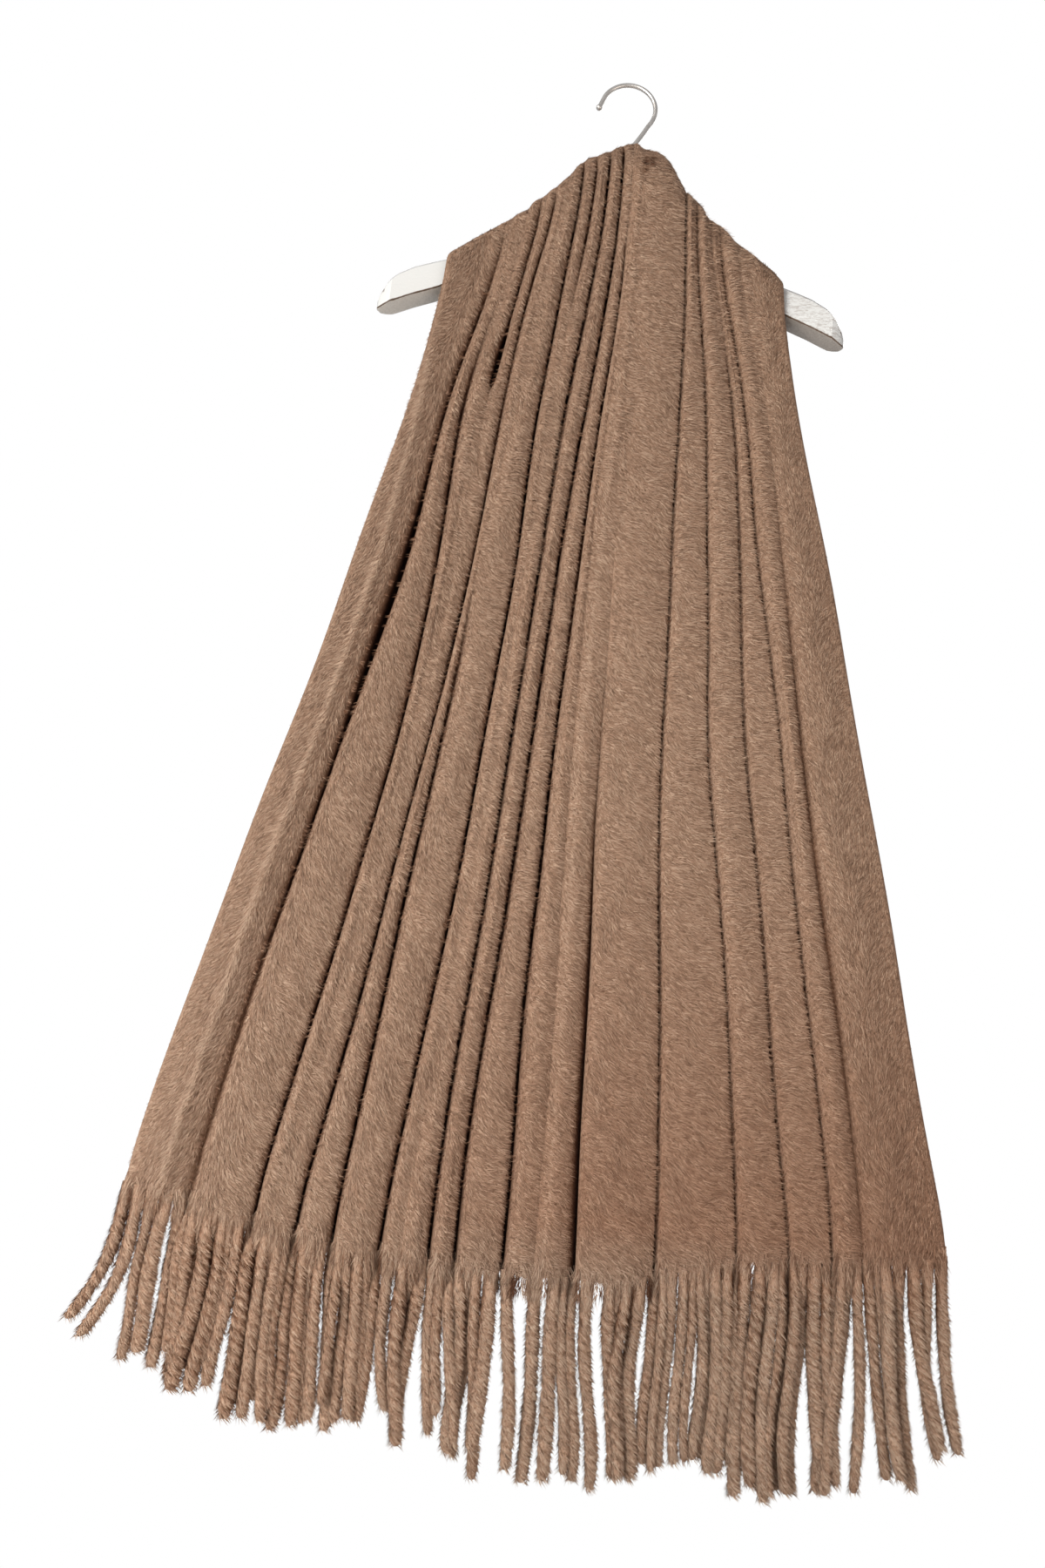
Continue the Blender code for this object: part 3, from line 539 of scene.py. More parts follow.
def fall(column, shares, side, hem, spread):
    """One column of the hanging cloth: side -1 in front, +1 behind."""
    top_across = column_top(column)[0]
    start = float(arm_upper(top_across)) - SEAM_DROP
    hem_across = column_place(column, np.array((hem[:, 1].min(),)))[0][0] * spread
    end = np.interp(hem_across, hem[:, 0], hem[:, 1])
    heights = start + shares * (end - start)
    across, off, painted_shade = column_place(column, heights)
    across = across * (1.0 + (spread - 1.0) * shares)
    deep = lean(top_across, heights) + side * (base_off(heights) + off)
    return np.stack((across, deep, heights, painted_shade), axis=1)


def over_top(column, angles):
    """The same column over the hanger, on an ellipse from the front to the back."""
    top_across, rise = column_top(column)
    start = float(arm_upper(top_across)) - SEAM_DROP
    turn = np.radians(angles)
    heights = start + (SEAM_DROP + TOP_CLEAR + rise) * np.sin(turn)
    below = np.minimum(heights, shoulder(top_across) - 0.5)
    across, off, painted_shade = column_place(column, below)
    blend = np.sin(turn) ** 4
    across = across * (1.0 - blend) + top_across * blend
    deep = lean(top_across, start) - (base_off(start) + off) * np.cos(turn)
    return np.stack((across, deep, heights, painted_shade), axis=1)


def yarn_object(name, points, faces, lies, painted_shade):
    """A piece of yarn: points in millimetres, how much painted shade each has, and the lie map's place of
    each corner.
    """
    mesh = bpy.data.meshes.new(name)
    mesh.from_pydata(in_model(points).tolist(), [], faces)
    mesh.uv_layers.new(name="lie").data.foreach_set("uv", (lies * MM).astype(np.float32).ravel())
    painted_shade_layer = mesh.attributes.new("painted_shade", "FLOAT", "POINT")
    painted_shade_layer.data.foreach_set("value", painted_shade.astype(np.float32).ravel())
    mesh.shade_smooth()
    piece = bpy.data.objects.new(name, mesh)
    bpy.context.scene.collection.objects.link(piece)
    return piece


columns = []
for number, fold in enumerate(FOLDS[:-1]):
    columns.append((number, "groove", 0.0))
    columns += [(number, "left", step) for step in EDGE_STEPS]
    columns += [(number, "crest", (spot + 1.0) / (fold[5] + 1.0)) for spot in range(fold[5])]
    columns += [(number, "right", step) for step in reversed(EDGE_STEPS)]
columns.append((len(FOLDS) - 2, "end", 1.0))

front_shares = np.linspace(0.0, 1.0, FRONT_ROWS + 1) ** 1.08
top_angles = np.linspace(0.0, 180.0, TOP_ROWS + 1)[1:-1]
back_shares = np.linspace(0.0, 1.0, BACK_ROWS + 1) ** 1.1
cloth_rows = []
for column in columns:
    front = fall(column, front_shares[::-1], -1.0, FRONT_HEM, 1.0)
    back = fall(column, back_shares, 1.0, BACK_HEM, BACK_SPREAD)
    cloth_rows.append(np.concatenate((front, over_top(column, top_angles), back)))
cloth_grid = np.stack(cloth_rows, axis=1)          # row, column, point in millimetres
painted_shade_grid = cloth_grid[:, :, 3]
cloth_grid = cloth_grid[:, :, :3]
rows_all, columns_all = cloth_grid.shape[:2]
top_first, top_last = FRONT_ROWS, FRONT_ROWS + TOP_ROWS

steps_across = np.linalg.norm(np.diff(cloth_grid, axis=1), axis=2)
steps_along = np.linalg.norm(np.diff(cloth_grid, axis=0), axis=2)
lie_across = np.concatenate((np.zeros((rows_all, 1)), np.cumsum(steps_across, axis=1)), axis=1)
lie_along = np.concatenate((np.zeros((1, columns_all)), np.cumsum(steps_along, axis=0)), axis=0)

slot_left = columns.index((8, "right", 1.0))
slot_right = columns.index((12, "groove", 0.0))
row_angles = 180.0 * (np.arange(rows_all) - top_first) / TOP_ROWS
open_rows = [row for row in range(rows_all - 1)
             if SLOT_FROM <= row_angles[row] and row_angles[row + 1] <= 180.0 - SLOT_FROM + 8.0]
slot = cloth_grid[open_rows[0]:open_rows[-1] + 2, slot_left:slot_right + 1]
slot_middle = 0.5 * (slot[:, :, :2].min(axis=(0, 1)) + slot[:, :, :2].max(axis=(0, 1)))
slot_half = 0.5 * (slot[:, :, :2].max(axis=(0, 1)) - slot[:, :, :2].min(axis=(0, 1)))
from_middle = np.clip((slot[:, :, :2] - slot_middle) / slot_half, -1.0, 1.0)
slot[:, :, :2] = slot_middle + slot_half * from_middle * np.sqrt(1.0 - 0.5 * from_middle[:, :, ::-1] ** 2)
faces = []
for row in range(rows_all - 1):
    for column in range(columns_all - 1):
        if row in open_rows and slot_left <= column < slot_right:
            continue
        first = row * columns_all + column
        faces.append((first, first + 1, first + columns_all + 1, first + columns_all))

corners = np.array(faces).ravel()
lies = np.stack((lie_across.ravel()[corners], lie_along.ravel()[corners]), axis=1)
cloth = yarn_object("scarf_cloth", cloth_grid.reshape(-1, 3), faces, lies, painted_shade_grid)
shell = cloth.modifiers.new("thickness", "SOLIDIFY")
shell.thickness = WALL * MM
shell.offset = 0.0
shell.use_rim = True
apply_modifiers(cloth)
bpy.ops.object.mode_set(mode="EDIT")
bpy.ops.mesh.select_all(action="SELECT")
bpy.ops.mesh.delete_loose()
bpy.ops.object.mode_set(mode="OBJECT")

# One finish serves the cloth and the tassels: brushed yarn, whose short fibres lie along the piece in small
# tufts,
# lighter where they stand higher: partly their own tone, partly a painted highlight. The group gives its
# colour and relief.
YARN_DARK, YARN_MID, YARN_LIGHT = (0.155, 0.087, 0.054), (0.325, 0.198, 0.130), (0.465, 0.312, 0.220)
# painted shade on the yarn, by how deep it lies in a groove, and on the tassels and fibres by their own
# painted shade
PAINTED_SHADES = ((0.0, (1.0, 1.0, 1.0)), (0.35, (0.52, 0.41, 0.35)), (0.7, (0.25, 0.15, 0.11)),
               (1.0, (0.07, 0.035, 0.025)))
# painted shade, darker and warmer, low on the cloth above the right of its hem, and the tint it fades to on
# the fringe; the stretches of height and of place across that they fade in over
PAINTED_HEM_SHADE, FRINGE_TINT = (0.81, 0.715, 0.675), (0.92, 0.965, 1.0)
PAINTED_SHADE_DOWN, PAINTED_SHADE_ASIDE = (-0.72, -1.08), (-0.16, 0.05)
# two layers of fibres: how they are turned, and how many to a metre across and along
FIBRE_LAYERS = ((0.25, 820.0, 240.0), (-0.5, 640.0, 260.0))
SWIRLS_TO_A_METRE, SWIRL_PUSH = 38.0, 0.022     # and how the tufts are pushed out of line
CLOUD_SHADE = (0.86, 0.84, 0.83)                # the yarn's darker patches
brushed = bpy.data.node_groups.new("brushed_yarn", "ShaderNodeTree")
for name, way, kind in (("Vector", "INPUT", "Vector"), ("Fibre Scale", "INPUT", "Float"),
                        ("Color", "OUTPUT", "Color"), ("Height", "OUTPUT", "Float")):
    brushed.interface.new_socket(name, in_out=way, socket_type="NodeSocket" + kind)
inside = add_node(brushed, "NodeGroupInput")
swirl = add_node(brushed, "ShaderNodeTexNoise", inside.outputs["Vector"],
                 Scale=SWIRLS_TO_A_METRE, Detail=2.0, Roughness=0.5)
centred = add_node(brushed, "ShaderNodeVectorMath", swirl.outputs["Color"], (0.5, 0.5, 0.5),
                   operation="SUBTRACT")
moved = add_node(brushed, "ShaderNodeVectorMath", centred.outputs[0], (SWIRL_PUSH, SWIRL_PUSH, 0.0),
                 inside.outputs["Vector"], operation="MULTIPLY_ADD")
sized = add_node(brushed, "ShaderNodeVectorMath", moved.outputs[0], operation="SCALE",
                 Scale=inside.outputs["Fibre Scale"])
laid = []
for turn, across_scale, along_scale in FIBRE_LAYERS:
    mapping = add_node(brushed, "ShaderNodeMapping", sized.outputs[0], vector_type="TEXTURE",
                       Rotation=(0.0, 0.0, turn), Scale=(1.0 / across_scale, 1.0 / along_scale, 1.0))
    laid.append(noise(brushed, mapping.outputs["Vector"], Scale=1.0, Detail=3.0, Roughness=0.6))
fibres = reckon(brushed, "MULTIPLY", reckon(brushed, "ADD", *laid), 0.5)
add_node(brushed, "NodeGroupOutput", Height=fibres,
         Color=colour_steps(brushed, fibres, ((0.36, YARN_DARK), (0.48, YARN_MID), (0.66, YARN_LIGHT))))


def with_painted_shade(tree, colour):
    """Painted shade: dark on the yarn deep in a groove, where little light reaches, and darker and warmer
    above the right of the hem.
    """
    deep = colour_steps(tree, attribute(tree, "painted_shade"), PAINTED_SHADES)
    spot = add_node(tree, "ShaderNodeSeparateXYZ", add_node(tree, "ShaderNodeTexCoord").outputs["Object"])
    plain = (1.0, 1.0, 1.0)
    hem_shade = colour_steps(tree, fitted(tree, spot.outputs["Z"], *PAINTED_SHADE_DOWN),
                        ((0.0, plain), (0.87, PAINTED_HEM_SHADE), (1.0, FRINGE_TINT)))
    hem_shade = mix_colours(tree, fitted(tree, spot.outputs["X"], *PAINTED_SHADE_ASIDE), plain, hem_shade)
    return mix_colours(tree, 1.0, mix_colours(tree, 1.0, colour, deep, "MULTIPLY"), hem_shade, "MULTIPLY")


def yarn_material(name, fibre_scale, relief, cloud_scale, tint):
    """Brushed yarn on a piece's own lie map, a little uneven in tone from place to place."""
    material, tree, shader = new_material(name)
    lie_map = add_node(tree, "ShaderNodeUVMap", uv_map="lie").outputs["UV"]
    yarn = add_node(tree, "ShaderNodeGroup", node_tree=brushed)
    dress(tree, yarn, {"Vector": lie_map, "Fibre Scale": fibre_scale})
    clouds = noise(tree, lie_map, Scale=cloud_scale, Detail=3.0, Roughness=0.6)
    darker = tuple(part * tint for part in CLOUD_SHADE)
    shade = colour_steps(tree, clouds, ((0.3, darker), (0.7, (tint, tint, tint))))
    colour = mix_colours(tree, 1.0, yarn.outputs["Color"], shade, "MULTIPLY")
    bump = add_node(tree, "ShaderNodeBump", Strength=1.0, Distance=relief, Height=yarn.outputs["Height"])
    dress(tree, shader, {"Base Color": with_painted_shade(tree, colour), "Normal": bump.outputs["Normal"],
                         "Roughness": 0.95, "Specular IOR Level": 0.12, "Sheen Weight": 0.12,
                         "Sheen Roughness": 0.5, "Sheen Tint": (0.80, 0.62, 0.48)})
    return material


cloth.data.materials.append(yarn_material("brushed_scarf_cloth", 1.0, 0.0022, 10.0, 1.0))
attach(cloth, "root")
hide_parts("front_fall", "over_hanger", "back_fall")

# The tassels: the warp ends of the cloth, gathered in bundles and twisted into fluffy cords.
# The front ones hang in the groups that the photograph shows, the back ones evenly. The cloth
# runs out into them, so each starts as flat and as wide as its share of the hem.
TASSEL_RADIUS = 4.8
TASSEL_PITCH = (11.0, 17.0)     # one whole turn of the two plies
PLY_CUT = 0.11                  # how deep the line between the plies cuts into the cord
PLY_SHADES = (0.08, 0.45)       # and how much painted shade it gets, on the scale of the cloth's grooves
GAP_SHADES = (0.0, 0.95)        # the same painted shade for the gaps beside a tassel's root
FRONT_RING_STEP, BACK_RING_STEP = 2.2, 3.0
TASSEL_SIDES = 10
TASSEL_LEAN_POWER = 1.3
ROOT_THICK_HALF, WIDEST_ROOT = 0.9, 9.5
ROOT_REACH, SWING_REACH = 30.0, 40.0
ON_ITS_OWN = 0.35               # chance that a tassel bends its own way, not with the rest of its group
# tassels counted, then first and last: root across, tip across, tip height
FRONT_TASSELS = (
    (2, -319, -308, -352, -339, -899, -894), (2, -297, -286, -317, -305, -911, -913),
    (5, -275, -229, -281, -234, -918, -935), (4, -218, -186, -221, -187, -943, -955),
    (6, -175, -122, -173, -120, -951, -951), (3, -110, -86, -108, -84, -938, -957),
    (4, -75, -43, -69, -39, -954, -976), (1, -31, -31, -28, -28, -955, -955),
    (2, -18, 4, -6, 7, -972, -972), (3, 19, 44, 20, 42, -967, -976),
    (3, 62, 84, 68, 88, -971, -963), (5, 97, 141, 99, 145, -962, -953),
    (2, 152, 164, 156, 167, -964, -967), (4, 177, 208, 178, 211, -972, -973),
    (4, 219, 250, 222, 256, -968, -968), (3, 261, 283, 276, 298, -960, -955),
    (2, 294, 305, 309, 319, -935, -930), (1, 316, 316, 337, 337, -933, -933),
)
BACK_TASSELS = ((44, -262, 262, -268, 268, -757, -757),)
SMALL_GROUP = 3
BETWEEN_CHANCES = (0.3, 0.8)    # chance that a cord hangs between two of a small or a bigger group
THIN_CORDS, CORDS = (0.66, 0.95), (0.86, 1.22)      # thickness of those between, and of the others


def tassel_places(table, luck):
    """Root and tip across, tip height and thickness of each cord, and whether it starts a group."""
    for count, root_first, root_last, tip_first, tip_last, low_first, low_last in table:
        for half_step in range(2 * count - 1):
            between = half_step % 2 == 1
            if between and luck.random() > BETWEEN_CHANCES[count > SMALL_GROUP]:
                continue
            share = half_step / max(1, 2 * count - 2)
            shorter = luck.uniform(2.0, 26.0) if between else 0.0
            fat = luck.uniform(*(THIN_CORDS if between else CORDS))
            yield (root_first + share * (root_last - root_first),
                   tip_first + share * (tip_last - tip_first),
                   low_first + share * (low_last - low_first) + shorter, fat, half_step == 0)


def hem_depth(hem_row, across, reach):
    """The hem's place front to back, evened out over reach on both sides."""
    near = across + np.linspace(-reach, reach, 5)
    return float(np.interp(near, hem_row[:, 0], hem_row[:, 1]).mean())


def eased_in(along, reach):
    share = np.clip(along / reach, 0.0, 1.0)
    return share * share * (3.0 - 2.0 * share)


def cord_cut(turn, twist):
    """How near a place round a cord is to the line between its two plies."""
    return 1.0 - np.abs(np.cos(turn - twist)) ** 0.7


def painted_cord_shade(along, turn, twist, ply_shade, gaps):
    """Painted shade at a place on a cord: between the plies, and in the gaps beside its root."""
    beside = np.where(np.cos(turn) > 0.0, gaps[1], gaps[0]) * np.cos(turn) ** 4
    beside = beside * np.interp(along, (3.0, 12.0, 35.0, 70.0), (0.0, 1.0, 0.8, 0.1))
    return np.clip(ply_shade * eased_in(along, ROOT_REACH) * cord_cut(turn, twist) + beside, 0.0, 1.0)


def tassel_cords(name, table, hem, hem_row, ring_step, luck):
    """A mesh of all the twisted cords of one end, and what each one's fluff needs to follow it."""
    points, painted_shade, faces, lies, cords_laid = [], [], [], [], []
    places = list(tassel_places(table, luck))
    roots = [place[0] for place in places]
    between = [0.5 * min(WIDEST_ROOT, after - before) for before, after in zip(roots, roots[1:])]
    room = zip([between[0]] + between, between + [between[-1]])
    turns = 2.0 * math.pi * np.arange(TASSEL_SIDES) / TASSEL_SIDES
    for (root, tip, low, fat, new_group), (room_left, room_right) in zip(places, room):
        root += 0.5 * (room_right - room_left)
        half_root = 0.5 * (room_left + room_right) + 0.6
        high = float(np.interp(root, hem[:, 0], hem[:, 1])) + luck.uniform(1.0, 3.0)
        length = high - low - luck.uniform(-4.0, 12.0)
        count = int(length / ring_step)
        share = np.linspace(0.0, 1.0, count)
        along = share * length
        if new_group or luck.random() < ON_ITS_OWN:
            sway, sway_deep = luck.uniform(-7.0, 7.0), luck.uniform(-5.0, 5.0)
            bend_start, wave, astray = luck.uniform((0.0, 2.5, -4.0), (6.28, 6.0, 4.0))
        else:
            sway, sway_deep = sway + luck.uniform(-1.5, 1.5), -sway_deep + luck.uniform(-1.0, 1.0)
        pitch = luck.uniform(*TASSEL_PITCH)
        deep = hem_depth(hem_row, root, 0.5 * (room_left + room_right)) - 0.4
        level = hem_depth(hem_row, root, 26.0)
        rounded, swung = eased_in(along, ROOT_REACH), eased_in(along, SWING_REACH)
        bend = sway * (np.sin(wave * share + bend_start) - math.sin(bend_start)) * share
        middle = np.stack((root + (tip + astray - root) * share ** TASSEL_LEAN_POWER + bend,
                           deep + swung * (level + sway_deep - deep), high - along), axis=1)
        thick = fat * TASSEL_RADIUS * (1.0 + 0.07 * np.sin(along / 9.0 + bend_start))
        thick = thick * np.interp(length - along, (0.0, 2.0, 6.0, 16.0), (0.4, 0.8, 1.0, 1.05))
        half_across = (1.0 - rounded) * half_root + rounded * thick
        half_deep = (1.0 - rounded) * ROOT_THICK_HALF + rounded * 0.9 * thick
        twist = bend_start + 2.0 * math.pi * along / pitch
        ply_shade, gaps = luck.uniform(*PLY_SHADES), luck.uniform(*GAP_SHADES, 2)
        cords_laid.append((middle, half_across, half_deep, twist, ply_shade, gaps))
        size = 1.0 - 2.0 * PLY_CUT * rounded[:, None] * cord_cut(turns, twist[:, None])
        out = np.stack((half_across[:, None] * size * np.cos(turns),
                        half_deep[:, None] * size * np.sin(turns), np.zeros_like(size)), axis=2)
        first = len(points) * TASSEL_SIDES
        points += list(middle[:, None, :] + out)
        painted_shade += list(painted_cord_shade(along[:, None], turns, twist[:, None], ply_shade, gaps))
        for ring in range(count - 1):
            here, there = along[ring], along[ring + 1]
            for side in range(TASSEL_SIDES):
                low_side = first + ring * TASSEL_SIDES + side
                low_after = first + ring * TASSEL_SIDES + (side + 1) % TASSEL_SIDES
                faces.append((low_side, low_side + TASSEL_SIDES, low_after + TASSEL_SIDES, low_after))
                around, around_next = 0.5 * TASSEL_RADIUS * side, 0.5 * TASSEL_RADIUS * (side + 1)
                lies += [(around, here), (around, there), (around_next, there), (around_next, here)]
        for ring, order in ((0, 1), (count - 1, -1)):
            faces.append(tuple(first + ring * TASSEL_SIDES + side for side in range(TASSEL_SIDES))[::order])
            lies += [(0.0, along[ring])] * TASSEL_SIDES
    points = np.array(points).reshape(-1, 3)
    return yarn_object(name, points, faces, np.array(lies), np.array(painted_shade)), cords_laid


tassel_look = yarn_material("twisted_tassel_yarn", 1.5, 0.0018, 45.0, 1.3)
front_tassels, front_cords = tassel_cords("front_tassels", FRONT_TASSELS, FRONT_HEM, cloth_grid[0],
                                          FRONT_RING_STEP, np.random.default_rng(52))
back_tassels, back_cords = tassel_cords("back_tassels", BACK_TASSELS, BACK_HEM, cloth_grid[-1],
                                        BACK_RING_STEP, np.random.default_rng(53))
for cords, node in ((front_tassels, "front_fringe"), (back_tassels, "back_fringe")):
    cords.data.materials.append(tassel_look)
    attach(cords, "root")
    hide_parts(node)

# The nap: the fibres that brushing has raised, 3 to 12 mm long, lying down the cloth in tufts
# and standing off at its rolls' edges, its hem and its tassels. Each is one slim blade.
BLADE_HALF = 0.36
NAP_LENGTH, FLUFF_LENGTH, HEM_LENGTH = (4.2, 8.6), (3.0, 7.0), (4.0, 12.0)
NAP_LIFT, FLUFF_LIFT = (6.0, 21.0), (4.0, 24.0)     # degrees that the fibres stand off
# how light the fibres are: their mean and how much they scatter
NAP_TONE, GROOVE_TONE, FLUFF_TONE, HEM_TONE = (0.5, 0.27), (0.40, 0.25), (0.74, 0.36), (0.58, 0.32)
# how the nap leans, as an angle from straight down, by share of the way from the middle to the edge
NAP_LEAN = ((-0.86, 0.40), (-0.74, -0.85), (0.0, -1.0), (0.76, -1.1), (0.92, 0.40))
# painted shade in the nap for short creases pinched in under the peak, which the cloth's mesh doesn't hold:
# place across, height, half width, half length
PAINTED_PINCHES = ((18.2, 140.0, 1.9, 9.0), (24.2, 145.0, 1.9, 6.0))
PAINTED_RIDGE_HIGHLIGHTS = ((0.0, 0.55, 2.8), (5.0, 0.22, 2.4))  # painted highlight on the nap off the ridge and the faint line: how pale, half width
HEM_DRAW = 23.0                 # the hem's fibres point at their tassel this far down it
FIBRE_DARK, FIBRE_MID, FIBRE_LIGHT = (0.185, 0.108, 0.069), (0.345, 0.213, 0.142), (0.52, 0.365, 0.26)
SWIRL_WAVES = np.random.default_rng(9).uniform((-260.0, -120.0, 0.0), (260.0, 120.0, 6.28), (7, 3))
CLUMP_WAVES = np.random.default_rng(10).uniform((-1300.0, -500.0, 0.0), (1300.0, 500.0, 6.28), (9, 3))

nap_look, tree, shader = new_material("raised_nap_fibre")
hair = colour_steps(tree, attribute(tree, "tone"),
                    ((0.1, FIBRE_DARK), (0.5, FIBRE_MID), (0.95, FIBRE_LIGHT)))
dress(tree, shader, {"Base Color": with_painted_shade(tree, hair), "Roughness": 0.8,
                     "Specular IOR Level": 0.15})


def swirl_at(places, wave_table):
    """A value that changes smoothly over the cloth, for which way tufts lean and which are lighter."""
    total = sum(np.sin(places[:, 0] * a + places[:, 2] * b + c) for a, b, c in wave_table)
    return total / math.sqrt(len(wave_table))


def unit(vectors):
    return vectors / np.linalg.norm(vectors, axis=1, keepdims=True)


def blades(name, roots, ways, flats, lengths, tones, painted_shade):
    """One slim triangle for each fibre, from its root along its way, its width across both."""
    widths = unit(np.cross(ways, flats)) * BLADE_HALF
    corners = np.stack((roots - widths, roots + widths, roots + ways * lengths[:, None]), axis=1)
    count = len(roots)
    mesh = bpy.data.meshes.new(name)
    mesh.vertices.add(3 * count)
    mesh.vertices.foreach_set("co", in_model(corners).astype(np.float32).ravel())
    mesh.loops.add(3 * count)
    mesh.loops.foreach_set("vertex_index", np.arange(3 * count, dtype=np.int32))
    mesh.polygons.add(count)
    mesh.polygons.foreach_set("loop_start", np.arange(0, 3 * count, 3, dtype=np.int32))
    mesh.polygons.foreach_set("loop_total", np.full(count, 3, np.int32))
    for layer, values in (("tone", tones), ("painted_shade", painted_shade)):
        marks = mesh.attributes.new(layer, "FLOAT", "POINT")
        marks.data.foreach_set("value", np.repeat(np.clip(values, 0.0, 1.0), 3).astype(np.float32))
    mesh.update(calc_edges=True)
    mesh.materials.append(nap_look)
    piece = bpy.data.objects.new(name, mesh)
    bpy.context.scene.collection.objects.link(piece)
    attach(piece, "root")


def nap_on_cloth(name, count, rows, columns_used, seed):
    """Fibres spread evenly over a stretch of the cloth's outer face."""
    luck = np.random.default_rng(seed)
    part = np.s_[rows[0]:rows[1] + 1, columns_used[0]:columns_used[1] + 1]
    grid = cloth_grid[part]
    along = grid[:-1, :-1] - grid[1:, :-1]
    normal = np.cross(grid[:-1, 1:] - grid[:-1, :-1], -along)
    area = np.linalg.norm(normal, axis=2)
    facing = np.abs(normal[:, :, 1]) / np.maximum(area, 1e-6)
    painted_shade = painted_shade_grid[part]
    painted_shade = 0.25 * (painted_shade[1:, 1:] + painted_shade[:-1, 1:] + painted_shade[1:, :-1] + painted_shade[:-1, :-1])
    chance = area * (0.02 + facing ** 2) * (1.0 - 0.8 * painted_shade)
    cell = luck.choice(area.size, count, p=(chance / chance.sum()).ravel())
    row, column = np.unravel_index(cell, area.shape)
    u, v = luck.uniform(0.0, 1.0, (2, count, 1))
    low, high = grid[row, column], grid[row + 1, column]
    low_next, high_next = grid[row, column + 1], grid[row + 1, column + 1]
    places = (low * (1.0 - u) + low_next * u) * (1.0 - v) + (high * (1.0 - u) + high_next * u) * v
    flats = normal[row, column] / area[row, column][:, None]
    places = places + flats * 0.45 * WALL
    down = unit(along[row, column])
    down = np.where((row + rows[0] < (top_first + top_last) / 2.0)[:, None], down, -down)
    sideways = np.cross(down, flats)
    edge = grid[row, -1, 0] if columns_used[1] == columns_all - 1 else grid[row, 0, 0]
    share = places[:, 0] / np.abs(edge)
    leaning = np.interp(share, *np.array(NAP_LEAN).T)
    in_place = in_model(places)
    turn = leaning + 0.28 * swirl_at(in_place, SWIRL_WAVES) + luck.normal(0.0, 0.24, count)
    lift = np.radians(luck.uniform(*NAP_LIFT, count))[:, None]
    ways = (down * np.cos(turn)[:, None] + sideways * np.sin(turn)[:, None]) * np.cos(lift)
    ways = ways + flats * np.sin(lift)
    tilt = luck.normal(0.0, 0.45, count)[:, None]
    # painted shade of each fibre: from the groove it lies in, and from the pinched creases
    painted_fibre_shade = painted_shade[row, column]
    lengths = luck.uniform(*NAP_LENGTH, count) * (0.4 + 0.6 * facing[row, column] ** 2)
    lengths = lengths * (1.0 - 0.5 * painted_fibre_shade) * np.interp(np.abs(share), (0.92, 1.0), (1.0, 0.4))
    tones = np.clip(luck.normal(*NAP_TONE, count) + 0.06 * swirl_at(in_place, CLUMP_WAVES), 0.0, 1.0)
    for across_at, height_at, half, reach in PAINTED_PINCHES:
        far = ((places[:, 0] - across_at) / half) ** 2 + ((places[:, 2] - height_at) / reach) ** 2
        painted_fibre_shade = np.clip(painted_fibre_shade + np.exp(-far) * (places[:, 1] < 0.0), 0.0, 1.0)
    # painted highlight on the fibres along the ridge and beside the faint line
    for line, (aside, pale, half) in zip((OUTER_RIDGE, FAINT_LINE), PAINTED_RIDGE_HIGHLIGHTS):
        far = (places[:, 0] - by_level(line, places[:, 2]) - aside) / half
        tones = tones + pale * np.exp(-far * far) * np.clip(-places[:, 2] / 120.0, 0.0, 1.0)
    blades(name, places, ways, flats + sideways * tilt, lengths, tones, painted_fibre_shade)


def front_place(column, heights):
    across, off = column_place(column, heights)[:2]
    deep = lean(column_top(column)[0], heights) - base_off(heights) - off
    return np.stack((across, deep, heights), axis=1)


def nap_over_grooves(name, tufts, each, seed):
    """Small tufts that reach over the front's tight grooves from the rolls beside them."""
    luck = np.random.default_rng(seed)
    roots, ways, lengths = [], [], []
    for number in range(1, len(FOLDS) - 1):
        start = float(arm_upper(FOLDS[number][1])) - SEAM_DROP
        places = luck.uniform(FRONT_HEM[:, 1].max() - 2.0, start, tufts)
        heights = np.repeat(places, each) + luck.normal(0.0, 0.8, tufts * each)
        width = fold_line(number, heights) - fold_line(number - 1, heights)
        tight = groove_side(number, heights, width, "left")[5]
        heights = heights[luck.random(len(heights)) < tight]
        below = heights - luck.uniform(1.0, 7.0, len(heights))
        from_left = (luck.random(len(heights)) < 0.7)[:, None]
        before, after = (number - 1, "right", 0.5), (number, "left", 0.5)
        root = np.where(from_left, front_place(before, heights), front_place(after, heights))
        way = np.where(from_left, front_place(after, below), front_place(before, below)) - root
        reach = np.linalg.norm(way, axis=1)
        way[:, 1] -= luck.uniform(0.05, 0.25, len(heights)) * reach
        roots.append(root)
        ways.append(unit(way))
        lengths.append(np.clip(reach * luck.uniform(0.3, 0.8, len(heights)), 2.0, 6.0))
    roots, ways, lengths = (np.concatenate(parts) for parts in (roots, ways, lengths))
    flats = np.tile((0.0, -1.0, 0.0), (len(roots), 1))
    tones = luck.normal(*GROOVE_TONE, len(roots))
    # these tufts get painted shade at random, as they lie over a groove
    blades(name, roots, ways, flats, lengths, tones, luck.uniform(0.1, 0.6, len(roots)))


